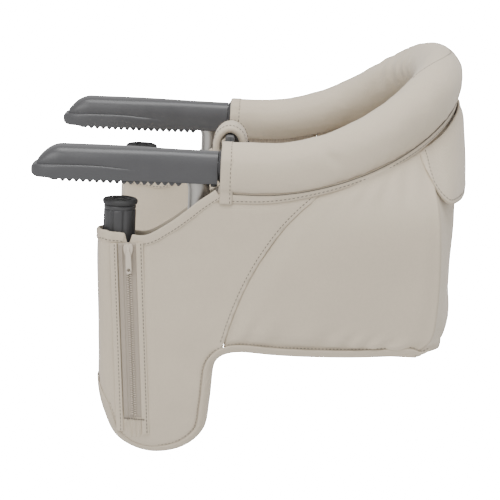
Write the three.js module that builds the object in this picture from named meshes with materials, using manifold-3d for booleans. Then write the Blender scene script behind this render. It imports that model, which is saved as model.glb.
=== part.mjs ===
// Hook-on table chair: a fabric seat sewn round a bent rim tube and hung from two arms.
// The arms lie on a table top, and a screw clamp under each arm presses up against the table.
// Millimetres, +Z up, +X towards the backrest, the table top at Z = 0, the rear legs at X = 0.
import * as THREE from 'three';
import { mergeVertices } from 'three/addons/utils/BufferGeometryUtils.js';
import Module from 'manifold-3d';

const wasm = await Module();
wasm.setup();

// Fits
const FIT = 0.3;
const SEW_GAP = 0.5;

// Tubes
const ARM_SPACING = 310;
const TUBE_DIAMETER = 20;
const TUBE_WALL = 1.5;
const ARM_BEND_RADIUS = 24;
const LEG_SPACING = 73;
const HOOK_DEPTH = 228;
const TUBE_FRONT_REACH = 112;
const FRONT_LEG_TOP_DEPTH = 101;

// Arms
const ARM_FRONT_REACH = 156;
const ARM_REAR_REACH = 17;
const ARM_REAR_WIDTH = 28;
const ARM_FRONT_WIDTH = 41;
const ARM_FLARE_START = 20;
const ARM_FLARE_END = 110;
const ARM_REAR_HEIGHT = 26.5;
const ARM_FRONT_HEIGHT = 27;
const ARM_AXIS_HEIGHT = 13;
const ARM_PARTING_HEIGHT = 11;
const ARM_WALL = 2.5;
const ARM_RIB = 3;
const ARM_BAY_COUNT = 3;
const NOSE_LENGTH = 28;
const NOSE_TIP_HEIGHT = 1;
const NOSE_FALL = 1.5;
const ARM_STEP = 1.2;
const SCREW_BOSS_SETBACK = 14;
const SCREW_BOSS_DIAMETER = 9;
const SHELL_SCREW_DIAMETER = 3.2;
const SHELL_SCREW_HEAD_DIAMETER = 7.2;
const SHELL_SCREW_HEAD_HEIGHT = 2.5;
const SHELL_SCREW_LENGTH = 20;

// Grip pads
const TOOTH_COUNT = 18;
const TOOTH_PITCH = 6.3;
const TOOTH_HEIGHT = 3;
const TOOTH_TIP = 1.4;
const PAD_BASE = 2.2;
const PAD_WIDTH = 30;
const PAD_NOSE = 18;

// Folding pivots and their locks
const PIVOT_DIAMETER = 12;
const PIVOT_REACH = 46;
const HUB_DIAMETER = 22;
const HUB_DEPTH = 10;
const COLLAR_DIAMETER = 31;
const COLLAR_LENGTH = 4.6;
const LOCK_BUTTON_DIAMETER = 6;
const LOCK_BUTTON_DROP = 6.5;
const LOCK_STEM_DIAMETER = 2.2;
const LOCK_STEM_LENGTH = 4;
const LOCK_TRAVEL = 2;
const LOCK_WIRE = 0.5;
const LOCK_TURNS = 2;

// Clamps
const CLAMP_REST_DEPTH = 16;
const FOOT_DIAMETER = 32.8;
const FOOT_THICKNESS = 5;
const BARREL_DIAMETER = 30;
const GRIP_LENGTH = 36;
const SKIRT_DIAMETER = 24.4;
const BARREL_LENGTH = 91;
const BARREL_TOP_WALL = 5;
const BARREL_FIT = 0.5;
const SPINDLE_DIAMETER = 12;
const SPINDLE_LENGTH = 102;
const SPINDLE_SEAT = 2.8;
const NUT_LENGTH = 30;
const NUT_FLANGE = 2;

// Fabric sleeves round the hooks
const SLEEVE_THICKNESS = 38;
const SLEEVE_WALL = 1.5;
const SLEEVE_ROUNDING = 9;
const SLEEVE_FRONT_MARGIN = 10;
const SLEEVE_REAR_MARGIN = 10;
const SLEEVE_INNER_DROP = 3;
const SLEEVE_REAR_NOTCH = 16;
const FLAP_SHEET = 3;
const FLAP_TIP_ROOM = 7;

// Zips
const ZIP_TOP_INSET = 30;
const ZIP_LEAN = 3.9;
const ZIP_LENGTH = 173;
const ZIP_TOP_DEPTH = 54;
const ZIP_TAPE_WIDTH = 21;
const ZIP_TAPE_SHEET = 0.8;
const ZIP_CHAIN_WIDTH = 5;
const ZIP_CHAIN_HEIGHT = 1.6;
const SLIDER_WIDTH = 9;
const SLIDER_LENGTH = 13;
const SLIDER_SHEET = 1.6;
const PULL_WIDTH = 6.5;
const PULL_LENGTH = 22;
const PULL_SHEET = 1.2;

// Rim and the panels sewn to it
const RIM_STRAIGHT_END = 100;
const RIM_BACK_REACH = 225;
const RIM_RISE = 80;
const RIM_RISE_POWER = 2;
const RIM_LEVEL_RUN = 4;
const RIM_SQUARENESS = 2.4;
const RIM_PAD_WIDTH = 47.6;
const RIM_PAD_HEIGHT = 42.6;
const RIM_PAD_BACK_GROWTH = 1.05;
const RIM_PAD_DROP = 1.9;
const STRIP_DEPTH = 4.5;
const STRIP_SHEET = 4;
const PANEL_SHEET = 6;
const SEAM_TOP_REACH = 112;
const SEAM_FOOT_REACH = 29.5;
const SEAT_DEPTH = 146;
const REAR_SEAM_REACH = 226.5;
const REAR_SEAM_TOP_REACH = 209;
const TUB_CORNER = 17;
const BACK_BOW = 16;
const BACK_DRAW = 3;
const BASE_FRONT_REACH = 70;
const BASE_SHEET = 7;
const BASE_CROWN = 8;

// Crotch strap, belt, pocket
const STRAP_WIDTH = 44;
const STRAP_FOOT_WIDTH = 96;
const STRAP_SHEET = 4;
const LOOP_REACH = 24;
const LOOP_HEIGHT = 9;
const LOOP_WIDTH = 34;
const LOOP_LENGTH = 42;
const BUCKLE_HEIGHT = 26;
const BUCKLE_SHEET = 10;
const SOCKET_LENGTH = 30;
const SOCKET_WALL = 2;
const TONGUE_LENGTH = 16;
const PRONG_LENGTH = 12;
const BELT_WIDTH = 25;
const BELT_SHEET = 1.6;
const BELT_ANCHOR_COLUMN = 0.7;
const BELT_ANCHOR_ROW = 0.62;
const POCKET_SHEET = 6;
const POCKET_WALL = 1.8;
const FLAP_FOOT_DEPTH = 4;
const FLAP_SQUARENESS = 12;
const FLAP_SIDE_INSET = 0.03;
const FLAP_WING_ROOM = 3;
const POCKET_FLAP_SHEET = 2.5;

// Levels and radii that follow from the sizes above
const tubeRadius = TUBE_DIAMETER / 2;
const boreRadius = tubeRadius - TUBE_WALL;
const armY = -ARM_SPACING / 2;
const padTop = TOOTH_HEIGHT + PAD_BASE;
const armBottom = padTop + FIT;
const armAxis = armBottom + ARM_AXIS_HEIGHT;
const partingLevel = armBottom + ARM_PARTING_HEIGHT;
const uRadius = LEG_SPACING / 2;
const sleeveFace = armY - SLEEVE_THICKNESS / 2;
const rimFront = ARM_REAR_REACH + COLLAR_LENGTH + 3 * FIT;
const padHalfHeight = RIM_PAD_HEIGHT / 2;
const stripOuter = SLEEVE_THICKNESS / 2 - SEW_GAP;
const zipFace = sleeveFace - FIT;

const point = (x, y, z) => new THREE.Vector3(x, y, z);
const flat = (x, z) => new THREE.Vector2(x, z);
const steps = (count) => Array.from({ length: count + 1 }, (_, i) => i / count);
const power = (value, exponent) => Math.sign(value) * Math.abs(value) ** exponent;

/** Welds a geometry's corners, drops collapsed triangles and turns its faces outwards. */
function welded(geometry) {
  const bare = geometry.clone();
  bare.deleteAttribute('normal');
  bare.deleteAttribute('uv');
  const merged = mergeVertices(bare, 1e-4);
  const corners = merged.getAttribute('position');
  const kept = [];
  let volume = 0;
  const [a, b, c] = [point(), point(), point()];
  for (let i = 0; i < merged.index.count; i += 3) {
    const ids = [0, 1, 2].map((k) => merged.index.getX(i + k));
    if (new Set(ids).size === 3) {
      kept.push(ids);
      a.fromBufferAttribute(corners, ids[0]);
      b.fromBufferAttribute(corners, ids[1]);
      c.fromBufferAttribute(corners, ids[2]);
      volume += a.dot(b.cross(c));
    }
  }
  const ordered = volume < 0 ? kept.map(([p, q, r]) => [p, r, q]) : kept;
  merged.setIndex(ordered.flat());
  return merged;
}

/** Makes a boolean solid of a closed geometry. */
function toSolid(geometry) {
  const closed = welded(geometry);
  const vertProperties = new Float32Array(closed.getAttribute('position').array);
  const triVerts = new Uint32Array(closed.index.array);
  return new wasm.Manifold(new wasm.Mesh({ numProp: 3, vertProperties, triVerts }));
}

/** Makes a geometry of a boolean solid. */
function toGeometry(solid) {
  const mesh = solid.getMesh();
  const geometry = new THREE.BufferGeometry();
  geometry.setAttribute('position', new THREE.BufferAttribute(mesh.vertProperties, 3));
  geometry.setIndex(Array.from(mesh.triVerts));
  return geometry;
}

/** Cuts tools out of a geometry. */
function cut(geometry, ...tools) {
  return toGeometry(tools.reduce((solid, tool) => solid.subtract(toSolid(tool)), toSolid(geometry)));
}

/** Joins geometries into one. */
function join(geometry, ...others) {
  return toGeometry(others.reduce((solid, other) => solid.add(toSolid(other)), toSolid(geometry)));
}

/** Keeps what two geometries share. */
function common(geometry, other) {
  return toGeometry(toSolid(geometry).intersect(toSolid(other)));
}

/** A box between two corners. */
function box(low, high) {
  const size = high.clone().sub(low);
  const middle = low.clone().add(high).multiplyScalar(0.5);
  return new THREE.BoxGeometry(size.x, size.y, size.z).translate(middle.x, middle.y, middle.z);
}

/** A turned solid about a vertical line, from pairs of radius and level. */
function turned(profile, x, y, sides = 20) {
  const corners = profile.map(([radius, level]) => flat(radius, level));
  return new THREE.LatheGeometry(corners, sides).rotateX(Math.PI / 2).translate(x, y, 0);
}

/** A turned solid about an arm's own line, from pairs of radius and reach. */
function turnedAlong(profile, y, z, sides = 20) {
  const corners = profile.map(([radius, reach]) => flat(radius, reach));
  return new THREE.LatheGeometry(corners, sides).rotateZ(-Math.PI / 2).translate(0, y, z);
}

/** A closed profile of a ring between two radii and two levels. */
function ringProfile(outer, inner, low, high) {
  return [[inner, low], [outer, low], [outer, high], [inner, high], [inner, low]];
}

/** A closed profile of a full cylinder between two levels. */
function rodProfile(radius, low, high) {
  return [[0, low], [radius, low], [radius, high], [0, high]];
}

/** Joins rings of points, all of one length, into a closed solid with fan ends. */
function loft(rings) {
  const count = rings[0].length;
  const corners = rings.flat();
  const index = [];
  for (let i = 0; i < rings.length - 1; i += 1) {
    for (let j = 0; j < count; j += 1) {
      const a = i * count + j;
      const b = i * count + ((j + 1) % count);
      index.push(a, b, b + count, a, b + count, a + count);
    }
  }
  [0, rings.length - 1].forEach((end) => {
    const middle = rings[end].reduce((sum, p) => sum.add(p), point()).divideScalar(count);
    const hub = corners.push(middle) - 1;
    for (let j = 0; j < count; j += 1) {
      const pair = [end * count + j, end * count + ((j + 1) % count)];
      index.push(hub, ...(end === 0 ? pair.reverse() : pair));
    }
  });
  return new THREE.BufferGeometry().setFromPoints(corners).setIndex(index);
}

/** A closed sheet between two grids of points, the outer face and the inner one. */
function sheet(outer, inner) {
  const rows = outer.length;
  const columns = outer[0].length;
  const corners = [...outer.flat(), ...inner.flat()];
  const back = rows * columns;
  const index = [];
  const quad = (a, b, c, d) => index.push(a, b, c, a, c, d);
  const at = (i, j) => i * columns + j;
  for (let i = 0; i < rows - 1; i += 1) {
    for (let j = 0; j < columns - 1; j += 1) {
      const [a, b, c, d] = [at(i, j), at(i + 1, j), at(i + 1, j + 1), at(i, j + 1)];
      quad(a, b, c, d);
      quad(a + back, d + back, c + back, b + back);
    }
  }
  const edge = (a, b) => quad(b, a, a + back, b + back);
  for (let i = 0; i < rows - 1; i += 1) {
    edge(at(i, 0), at(i + 1, 0));
    edge(at(i + 1, columns - 1), at(i, columns - 1));
  }
  for (let j = 0; j < columns - 1; j += 1) {
    edge(at(rows - 1, j), at(rows - 1, j + 1));
    edge(at(0, j + 1), at(0, j));
  }
  return new THREE.BufferGeometry().setFromPoints(corners).setIndex(index);
}

/** A surface stretched between four edge curves, as a function of two shares from 0 to 1. */
function stretched(top, bottom, front, rear) {
  return (u, v) => {
    const p = point();
    p.addScaledVector(top(u), 1 - v).addScaledVector(bottom(u), v);
    p.addScaledVector(front(v), 1 - u).addScaledVector(rear(v), u);
    p.addScaledVector(top(0), -(1 - u) * (1 - v)).addScaledVector(top(1), -u * (1 - v));
    p.addScaledVector(bottom(0), -(1 - u) * v).addScaledVector(bottom(1), -u * v);
    return p;
  };
}

/** A sheet on a surface, between two offsets from it along one direction. */
function sheetOn(surface, us, vs, direction, outerOffset, innerOffset) {
  const grid = (offset) => vs.map((v) => us.map((u) => surface(u, v).addScaledVector(direction, offset)));
  return sheet(grid(outerOffset), grid(innerOffset));
}

/** A line of straight runs with round bends, stepped only where it bends. */
class BentLine extends THREE.Curve {
  constructor(corners, radii, bendSteps) {
    super();
    this.stations = [];
    this.directions = [];
    const add = (place, direction) => {
      const last = this.stations[this.stations.length - 1];
      if (!last || last.distanceTo(place) > 1e-3) {
        this.stations.push(place);
        this.directions.push(direction);
      }
    };
    const heading = (k) => corners[k + 1].clone().sub(corners[k]).normalize();
    add(corners[0], heading(0));
    radii.forEach((radius, k) => {
      const into = heading(k);
      const away = heading(k + 1);
      const side = away.clone().addScaledVector(into, -away.dot(into)).normalize();
      const angle = into.angleTo(away);
      const start = corners[k + 1].clone().addScaledVector(into, -radius * Math.tan(angle / 2));
      steps(bendSteps).forEach((share) => {
        const a = angle * share;
        const place = start.clone().addScaledVector(into, radius * Math.sin(a));
        place.addScaledVector(side, radius * (1 - Math.cos(a)));
        const turn = into.clone().multiplyScalar(Math.cos(a)).addScaledVector(side, Math.sin(a));
        add(place, turn);
      });
    });
    add(corners[corners.length - 1], heading(corners.length - 2));
  }

  getPointAt(u) {
    return this.stations[Math.round(u * (this.stations.length - 1))].clone();
  }

  getTangentAt(u) {
    return this.directions[Math.round(u * (this.stations.length - 1))].clone();
  }
}

/** A tube or a rod along a line that has stations. */
function pipe(line, outer, inner, halfSides) {
  const section = new THREE.Shape().absarc(0, 0, outer, 0, 2 * Math.PI);
  if (inner > 0) {
    section.holes.push(new THREE.Path().absarc(0, 0, inner, 0, 2 * Math.PI, true));
  }
  return new THREE.ExtrudeGeometry(section, {
    steps: line.stations.length - 1,
    extrudePath: line,
    curveSegments: halfSides,
    bevelEnabled: false,
  });
}

/** A plate cut to an outline in the X and Z plane, between two Y places, with rounded rims. */
function plate(outline, nearY, farY, rounding = 0, inset = 0, roundSteps = 3) {
  const shape = new THREE.Shape(outline);
  const radius = Math.max(rounding - inset, 0);
  const geometry = new THREE.ExtrudeGeometry(shape, {
    depth: farY - nearY - 2 * radius,
    bevelEnabled: radius > 0,
    bevelThickness: radius,
    bevelSize: radius,
    bevelOffset: -radius - inset,
    bevelSegments: roundSteps,
    curveSegments: 8,
  });
  return geometry.rotateX(Math.PI / 2).translate(0, farY - radius, 0);
}

/** Turns a left-hand solid into its right-hand twin. */
function mirrored(geometry) {
  return welded(welded(geometry).scale(1, -1, 1));
}

// Finishes
const finish = (color, roughness, metalness) => () =>
  new THREE.MeshStandardMaterial({ color, roughness, metalness });
const fabric = finish(0xb9afa3, 0.9, 0);
const lining = finish(0xa89e92, 0.95, 0);
const armPlastic = finish(0x55565a, 0.45, 0);
const clampPlastic = finish(0x35363a, 0.5, 0);
const rubber = finish(0x232325, 0.85, 0);
const aluminium = finish(0xb4b6b8, 0.35, 1);
const steel = finish(0x9b9da0, 0.4, 1);
const zipPlastic = finish(0x8f877d, 0.6, 0);
const buckleGrey = finish(0x6d6e72, 0.5, 0);
const webbing = finish(0x8c857c, 0.9, 0);

const chair = new THREE.Group();

/** Adds one named piece to the chair. */
function addPiece(name, geometry, material) {
  const mesh = new THREE.Mesh(welded(geometry), material());
  mesh.name = name;
  chair.add(mesh);
}

/** Adds a left-hand piece and its right-hand twin. */
function addPair(name, geometry, material) {
  addPiece(`left_${name}`, geometry, material);
  addPiece(`right_${name}`, mirrored(geometry), material);
}

// Hook tube: along the arm, down the rear leg, round the U and up the front leg
const hookCorners = [
  point(-TUBE_FRONT_REACH, armY, armAxis),
  point(0, armY, armAxis),
  point(0, armY, -HOOK_DEPTH),
  point(-LEG_SPACING, armY, -HOOK_DEPTH),
  point(-LEG_SPACING, armY, -FRONT_LEG_TOP_DEPTH),
];
const hookLine = new BentLine(hookCorners, [ARM_BEND_RADIUS, uRadius, uRadius], 5);
addPair('hook_tube', pipe(hookLine, tubeRadius, boreRadius, 8), aluminium);

/** The hook's path through the arm, with room round the tube. */
function hookRoom() {
  const corners = [
    point(-TUBE_FRONT_REACH - FIT, armY, armAxis),
    point(0, armY, armAxis),
    point(0, armY, armBottom - tubeRadius),
  ];
  return pipe(new BentLine(corners, [ARM_BEND_RADIUS], 5), tubeRadius + FIT, 0, 8);
}

/** One cross-section of an arm cover at a reach along X, drawn in by an inset and by a side step. */
function armSection(x, inset, step) {
  const flare = THREE.MathUtils.smoothstep(-x, ARM_FLARE_START, ARM_FLARE_END);
  const width = THREE.MathUtils.lerp(ARM_REAR_WIDTH, ARM_FRONT_WIDTH, flare);
  const height = THREE.MathUtils.lerp(ARM_REAR_HEIGHT, ARM_FRONT_HEIGHT, flare);
  const into = Math.max(0, (NOSE_LENGTH - ARM_FRONT_REACH - x) / NOSE_LENGTH);
  const round = Math.sqrt(Math.max(0, 1 - into * into));
  const fall = round ** NOSE_FALL;
  const top = armBottom + THREE.MathUtils.lerp(NOSE_TIP_HEIGHT, height, fall) - inset;
  const bottom = armBottom + inset;
  const half = (width / 2) * THREE.MathUtils.lerp(0.4, 1, round) - inset - step * flare;
  return steps(16).slice(0, -1).map((share) => {
    const a = 2 * Math.PI * share;
    const z = (top + bottom) / 2 + ((top - bottom) / 2) * power(Math.sin(a), 0.75);
    return point(x, armY + half * power(Math.cos(a), 0.75), z);
  });
}

const noseStart = NOSE_LENGTH - ARM_FRONT_REACH;
const noseReaches = [0.4, 0.66, 0.84, 0.95, 0.995].map((share) => noseStart - NOSE_LENGTH * share);
const armReaches = [ARM_REAR_REACH, -ARM_FLARE_START, -50, -80, -ARM_FLARE_END, noseStart, ...noseReaches];
const screwX = noseStart + SCREW_BOSS_SETBACK - NOSE_LENGTH / 2;
const screwLow = armBottom + FIT;

/** Solid of the screw that joins the two covers, grown by a clearance. */
function shellScrew(grow) {
  const headTop = screwLow + SHELL_SCREW_HEAD_HEIGHT + grow;
  const profile = [
    [0, screwLow - 2 * grow],
    [SHELL_SCREW_HEAD_DIAMETER / 2 + grow, screwLow - 2 * grow],
    [SHELL_SCREW_HEAD_DIAMETER / 2 + grow, headTop],
    [SHELL_SCREW_DIAMETER / 2 + grow, headTop],
    [SHELL_SCREW_DIAMETER / 2 + grow, screwLow + SHELL_SCREW_LENGTH + grow],
    [0, screwLow + SHELL_SCREW_LENGTH + grow],
  ];
  return turned(profile, screwX, armY, 12);
}

const hubFront = ARM_REAR_REACH - FIT - HUB_DEPTH;
const buttonX = tubeRadius + FIT + LOCK_BUTTON_DIAMETER / 2 + FIT;
const hubBottom = armAxis - HUB_DIAMETER / 2;
const buttonLow = armBottom - LOCK_BUTTON_DROP;
const buttonTop = hubBottom - LOCK_TRAVEL - FIT;
const springRadius = (LOCK_BUTTON_DIAMETER + LOCK_STEM_DIAMETER) / 4;
const springSeat = hubBottom + LOCK_TRAVEL;

/** Pocket of the hub in the arm covers, open towards the rim. */
const hubRoomProfile = rodProfile(HUB_DIAMETER / 2 + FIT, hubFront - FIT, ARM_REAR_REACH + 1);
const hubRoom = turnedAlong(hubRoomProfile, armY, armAxis);

/** Hole of the lock button in the lower cover, and of its spring and its stem in the hub. */
function buttonRoom() {
  const shank = LOCK_BUTTON_DIAMETER / 2 + FIT;
  const stem = LOCK_STEM_DIAMETER / 2 + FIT;
  const pocket = springRadius + LOCK_WIRE / 2 + FIT;
  const stemTop = buttonTop + LOCK_STEM_LENGTH + LOCK_TRAVEL + FIT;
  return turned([[0, buttonLow], [shank, buttonLow], [shank, hubBottom], [pocket, hubBottom],
    [pocket, springSeat], [stem, springSeat], [stem, stemTop], [0, stemTop]], buttonX, armY, 12);
}

/** Both covers in one, hollow between ribs that hold the tube, with its sides stepped in. */
function armShell(step) {
  const outside = loft(armReaches.map((x) => armSection(x, 0, step)));
  const hollow = (reaches) => loft(reaches.map((x) => armSection(x, ARM_WALL, step)));
  const hollowFront = -TUBE_FRONT_REACH + ARM_RIB;
  const bay = (-ARM_FLARE_START - hollowFront) / ARM_BAY_COUNT;
  const hollows = steps(ARM_BAY_COUNT).slice(0, -1).map((share) => {
    const low = hollowFront + share * bay * ARM_BAY_COUNT + ARM_RIB / 2;
    return hollow([low, low + bay - ARM_RIB]);
  });
  hollows.push(hollow([-TUBE_FRONT_REACH - ARM_RIB, noseStart, ...noseReaches.slice(0, 2)]));
  const bossLevels = rodProfile(SCREW_BOSS_DIAMETER / 2, armBottom - 1, armBottom + ARM_FRONT_HEIGHT);
  const boss = common(turned(bossLevels, screwX, armY, 12), outside);
  const hollowed = join(cut(outside, ...hollows), boss);
  return cut(hollowed, hookRoom(), hubRoom, buttonRoom(), shellScrew(FIT));
}

/** A cover: the shell's part between two levels. */
function armCover(step, low, high) {
  const far = ARM_FRONT_REACH + ARM_SPACING;
  return common(armShell(step), box(point(-far, -far, low), point(far, far, high)));
}
addPair('arm_upper_cover', armCover(ARM_STEP, partingLevel + FIT / 2, ARM_SPACING), armPlastic);
addPair('arm_lower_cover', armCover(0, -ARM_SPACING, partingLevel - FIT / 2), armPlastic);
addPair('shell_screw', shellScrew(0), steel);

/** Serrated pad under the arm, its teeth standing on the table top. */
function gripPad() {
  const rise = padTop - armAxis + ARM_BEND_RADIUS;
  const insideBend = ARM_BEND_RADIUS - tubeRadius;
  const rear = -ARM_BEND_RADIUS + Math.sqrt(Math.max(0, insideBend ** 2 - rise ** 2)) - 2 * FIT;
  const front = rear - TOOTH_COUNT * TOOTH_PITCH;
  const outline = [flat(rear, padTop), flat(rear, TOOTH_HEIGHT)];
  for (let i = 0; i < TOOTH_COUNT; i += 1) {
    const middle = rear - (i + 0.5) * TOOTH_PITCH;
    outline.push(flat(middle + TOOTH_TIP / 2, 0), flat(middle - TOOTH_TIP / 2, 0));
    outline.push(flat(middle - TOOTH_PITCH / 2, TOOTH_HEIGHT));
  }
  outline.push(flat(front - PAD_NOSE / 8, TOOTH_HEIGHT / 3), flat(front - PAD_NOSE / 3, TOOTH_HEIGHT / 3));
  outline.push(flat(front - PAD_NOSE, padTop - PAD_BASE / 3), flat(front - PAD_NOSE, padTop));
  return plate(outline.reverse(), armY - PAD_WIDTH / 2, armY + PAD_WIDTH / 2);
}
addPair('grip_pad', gripPad(), rubber);

// Pivot of the arm: a hub in the covers with a pin that turns in the end of the rim tube
const hubProfile = [
  [0, hubFront],
  [HUB_DIAMETER / 2, hubFront],
  [HUB_DIAMETER / 2, ARM_REAR_REACH - FIT],
  [PIVOT_DIAMETER / 2, ARM_REAR_REACH - FIT],
  [PIVOT_DIAMETER / 2, PIVOT_REACH],
  [0, PIVOT_REACH],
];
addPair('pivot_hub', cut(turnedAlong(hubProfile, armY, armAxis), hookRoom(), buttonRoom()), steel);
const pinRoom = PIVOT_DIAMETER / 2 + FIT;
const collarFront = ARM_REAR_REACH + FIT;
const collarProfile = ringProfile(COLLAR_DIAMETER / 2, pinRoom, collarFront, collarFront + COLLAR_LENGTH);
addPair('collar', turnedAlong(collarProfile, armY, armAxis, 24), clampPlastic);
const bushProfile = ringProfile(boreRadius - FIT, pinRoom, rimFront, PIVOT_REACH);
addPair('pivot_bush', turnedAlong(bushProfile, armY, armAxis, 16), clampPlastic);

// Lock button under the arm and the spring round its stem
const buttonProfile = [
  [0, buttonLow],
  [LOCK_BUTTON_DIAMETER / 2, buttonLow],
  [LOCK_BUTTON_DIAMETER / 2, buttonTop],
  [LOCK_STEM_DIAMETER / 2, buttonTop],
  [LOCK_STEM_DIAMETER / 2, buttonTop + LOCK_STEM_LENGTH],
  [0, buttonTop + LOCK_STEM_LENGTH],
];
addPair('lock_button', turned(buttonProfile, buttonX, armY, 12), buckleGrey);

/** Helix of the lock spring, between the button and the hub. */
class SpringLine extends THREE.Curve {
  constructor(low, high, radius, turns) {
    super();
    Object.assign(this, { low, high, radius, turns, stations: steps(turns * 8) });
  }

  getPointAt(u) {
    const a = 2 * Math.PI * this.turns * u;
    const z = THREE.MathUtils.lerp(this.low, this.high, u);
    return point(buttonX + this.radius * Math.cos(a), armY + this.radius * Math.sin(a), z);
  }

  getTangentAt(u) {
    const a = 2 * Math.PI * this.turns * u;
    const climb = (this.high - this.low) / (2 * Math.PI * this.turns * this.radius);
    return point(-Math.sin(a), Math.cos(a), climb).normalize();
  }
}
const springLow = buttonTop + LOCK_WIRE / 2 + FIT;
const springHigh = springSeat - LOCK_WIRE / 2 - FIT;
const springLine = new SpringLine(springLow, springHigh, springRadius, LOCK_TURNS);
addPair('lock_spring', pipe(springLine, LOCK_WIRE / 2, 0, 3), steel);

// Screw clamp: nut in the front leg, spindle, hollow barrel that turns, rubber foot
const footTop = -CLAMP_REST_DEPTH;
const barrelTop = footTop - FOOT_THICKNESS - FIT;
const barrelFoot = barrelTop - BARREL_LENGTH;
const spindleRadius = SPINDLE_DIAMETER / 2;
const spindleRoom = spindleRadius + FIT;
const spindleTop = barrelTop - BARREL_TOP_WALL + SPINDLE_SEAT;
const nutFlangeLow = -FRONT_LEG_TOP_DEPTH + FIT;
const nutProfile = [
  [spindleRoom, nutFlangeLow + NUT_FLANGE],
  [spindleRoom, nutFlangeLow - NUT_LENGTH],
  [boreRadius - FIT, nutFlangeLow - NUT_LENGTH],
  [boreRadius - FIT, nutFlangeLow],
  [tubeRadius, nutFlangeLow],
  [tubeRadius, nutFlangeLow + NUT_FLANGE],
  [spindleRoom, nutFlangeLow + NUT_FLANGE],
];
addPair('clamp_nut', turned(nutProfile, -LEG_SPACING, armY, 16), steel);
const spindleProfile = rodProfile(spindleRadius, spindleTop - SPINDLE_LENGTH, spindleTop);
addPair('clamp_spindle', turned(spindleProfile, -LEG_SPACING, armY, 16), steel);
const skirtTop = barrelTop - GRIP_LENGTH;
const barrelBore = tubeRadius + BARREL_FIT;
const barrelProfile = [
  [0, barrelTop],
  [BARREL_DIAMETER / 2 - 1, barrelTop],
  [BARREL_DIAMETER / 2, barrelTop - 1],
  [BARREL_DIAMETER / 2, skirtTop],
  [SKIRT_DIAMETER / 2, skirtTop - (BARREL_DIAMETER - SKIRT_DIAMETER) / 2],
  [SKIRT_DIAMETER / 2, barrelFoot],
  [barrelBore, barrelFoot],
  [barrelBore, barrelTop - BARREL_TOP_WALL],
  [spindleRoom, barrelTop - BARREL_TOP_WALL],
  [spindleRoom, spindleTop + FIT],
  [0, spindleTop + FIT],
];
addPair('clamp_barrel', turned(barrelProfile, -LEG_SPACING, armY, 24), clampPlastic);
const footProfile = [
  [0, footTop - FOOT_THICKNESS],
  [FOOT_DIAMETER / 2, footTop - FOOT_THICKNESS],
  [FOOT_DIAMETER / 2, footTop - 1],
  [FOOT_DIAMETER / 2 - 1, footTop],
  [0, footTop],
];
addPair('clamp_foot', turned(footProfile, -LEG_SPACING, armY, 24), rubber);

// Fabric sleeve: its outline goes round the hook tube with a margin that varies with the direction
const uCentre = flat(-uRadius, -HOOK_DEPTH + uRadius);
const aroundHook = (degrees, margin) => {
  const a = THREE.MathUtils.degToRad(degrees);
  const reach = uRadius + tubeRadius + margin;
  return flat(uCentre.x + reach * Math.cos(a), uCentre.y + reach * Math.sin(a));
};
const sleeveFront = -LEG_SPACING - tubeRadius - SLEEVE_FRONT_MARGIN;
const sleeveRear = tubeRadius + SLEEVE_REAR_MARGIN;
const mouthPoints = [
  flat(sleeveFront, footTop - 27.5),
  flat(sleeveFront + 27, footTop - 30),
  flat(-LEG_SPACING + 25, footTop - 31),
  flat(-LEG_SPACING + 44, footTop - 20.5),
  flat(-tubeRadius, footTop - 5.7),
  flat(0, footTop + 3),
  flat(sleeveRear - 4, -1.3),
];
const sleeveOutline = new THREE.SplineCurve([
  flat(sleeveFront, -60),
  flat(sleeveFront + 3, -0.89 * SEAT_DEPTH),
  aroundHook(184, 4.2),
  aroundHook(212, 4.2),
  aroundHook(239, 11),
  aroundHook(268, 15),
  aroundHook(297, 17),
  aroundHook(320, 16),
  aroundHook(344, 9),
  flat(sleeveRear - 1, -1.247 * SEAT_DEPTH),
]).getPoints(22);
const bagRear = [flat(sleeveRear, -SEAT_DEPTH), flat(sleeveRear, 0)];
const bagOutline = [flat(sleeveFront, 0), ...sleeveOutline, ...bagRear];

/** Region above the sleeve's mouth, raised by some height, to be cut away. */
function mouthRoom(rise, nearY, farY) {
  const edge = new THREE.SplineCurve(mouthPoints).getPoints(16).map((p) => flat(p.x, p.y + rise));
  const lead = flat(2 * sleeveFront, edge[0].y);
  const trail = flat(sleeveRear + 1, edge[edge.length - 1].y);
  const outline = [lead, ...edge, trail, flat(trail.x, ARM_SPACING), flat(lead.x, ARM_SPACING)];
  return plate(outline, nearY, farY);
}

// Rim line: straight from each collar, then round the back in a squared arc that rises
const rimWidth = ARM_SPACING / 2;
const rimCurveReach = RIM_BACK_REACH - RIM_STRAIGHT_END;
const straightShare = 0.14;
const riseStart = PIVOT_REACH + RIM_LEVEL_RUN;

/** Place on the rim's tube line, from the left end at 0 to the right end at 1. */
function rimPlace(share) {
  const side = share < 0.5 ? -1 : 1;
  const along = Math.min(share, 1 - share);
  const place = point(RIM_STRAIGHT_END, side * rimWidth, 0);
  if (along < straightShare) {
    place.x = THREE.MathUtils.lerp(rimFront, RIM_STRAIGHT_END, along / straightShare);
  } else {
    const a = ((along - straightShare) / (0.5 - straightShare)) * (Math.PI / 2);
    place.x += rimCurveReach * power(Math.sin(a), 2 / RIM_SQUARENESS);
    place.y = side * rimWidth * power(Math.cos(a), 2 / RIM_SQUARENESS);
  }
  const climb = Math.max(0, place.x - riseStart) / (RIM_BACK_REACH - riseStart);
  place.z = armAxis + RIM_RISE * climb ** RIM_RISE_POWER;
  return place;
}

/** Directions at a place on the rim: along it, outwards and up. */
function rimFrame(share) {
  const reach = 0.004;
  const before = rimPlace(Math.max(0, share - reach));
  const along = rimPlace(Math.min(1, share + reach)).sub(before).normalize();
  const outwards = point(along.y, -along.x, 0).normalize();
  const up = outwards.clone().cross(along);
  return { along, outwards, up };
}

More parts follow.
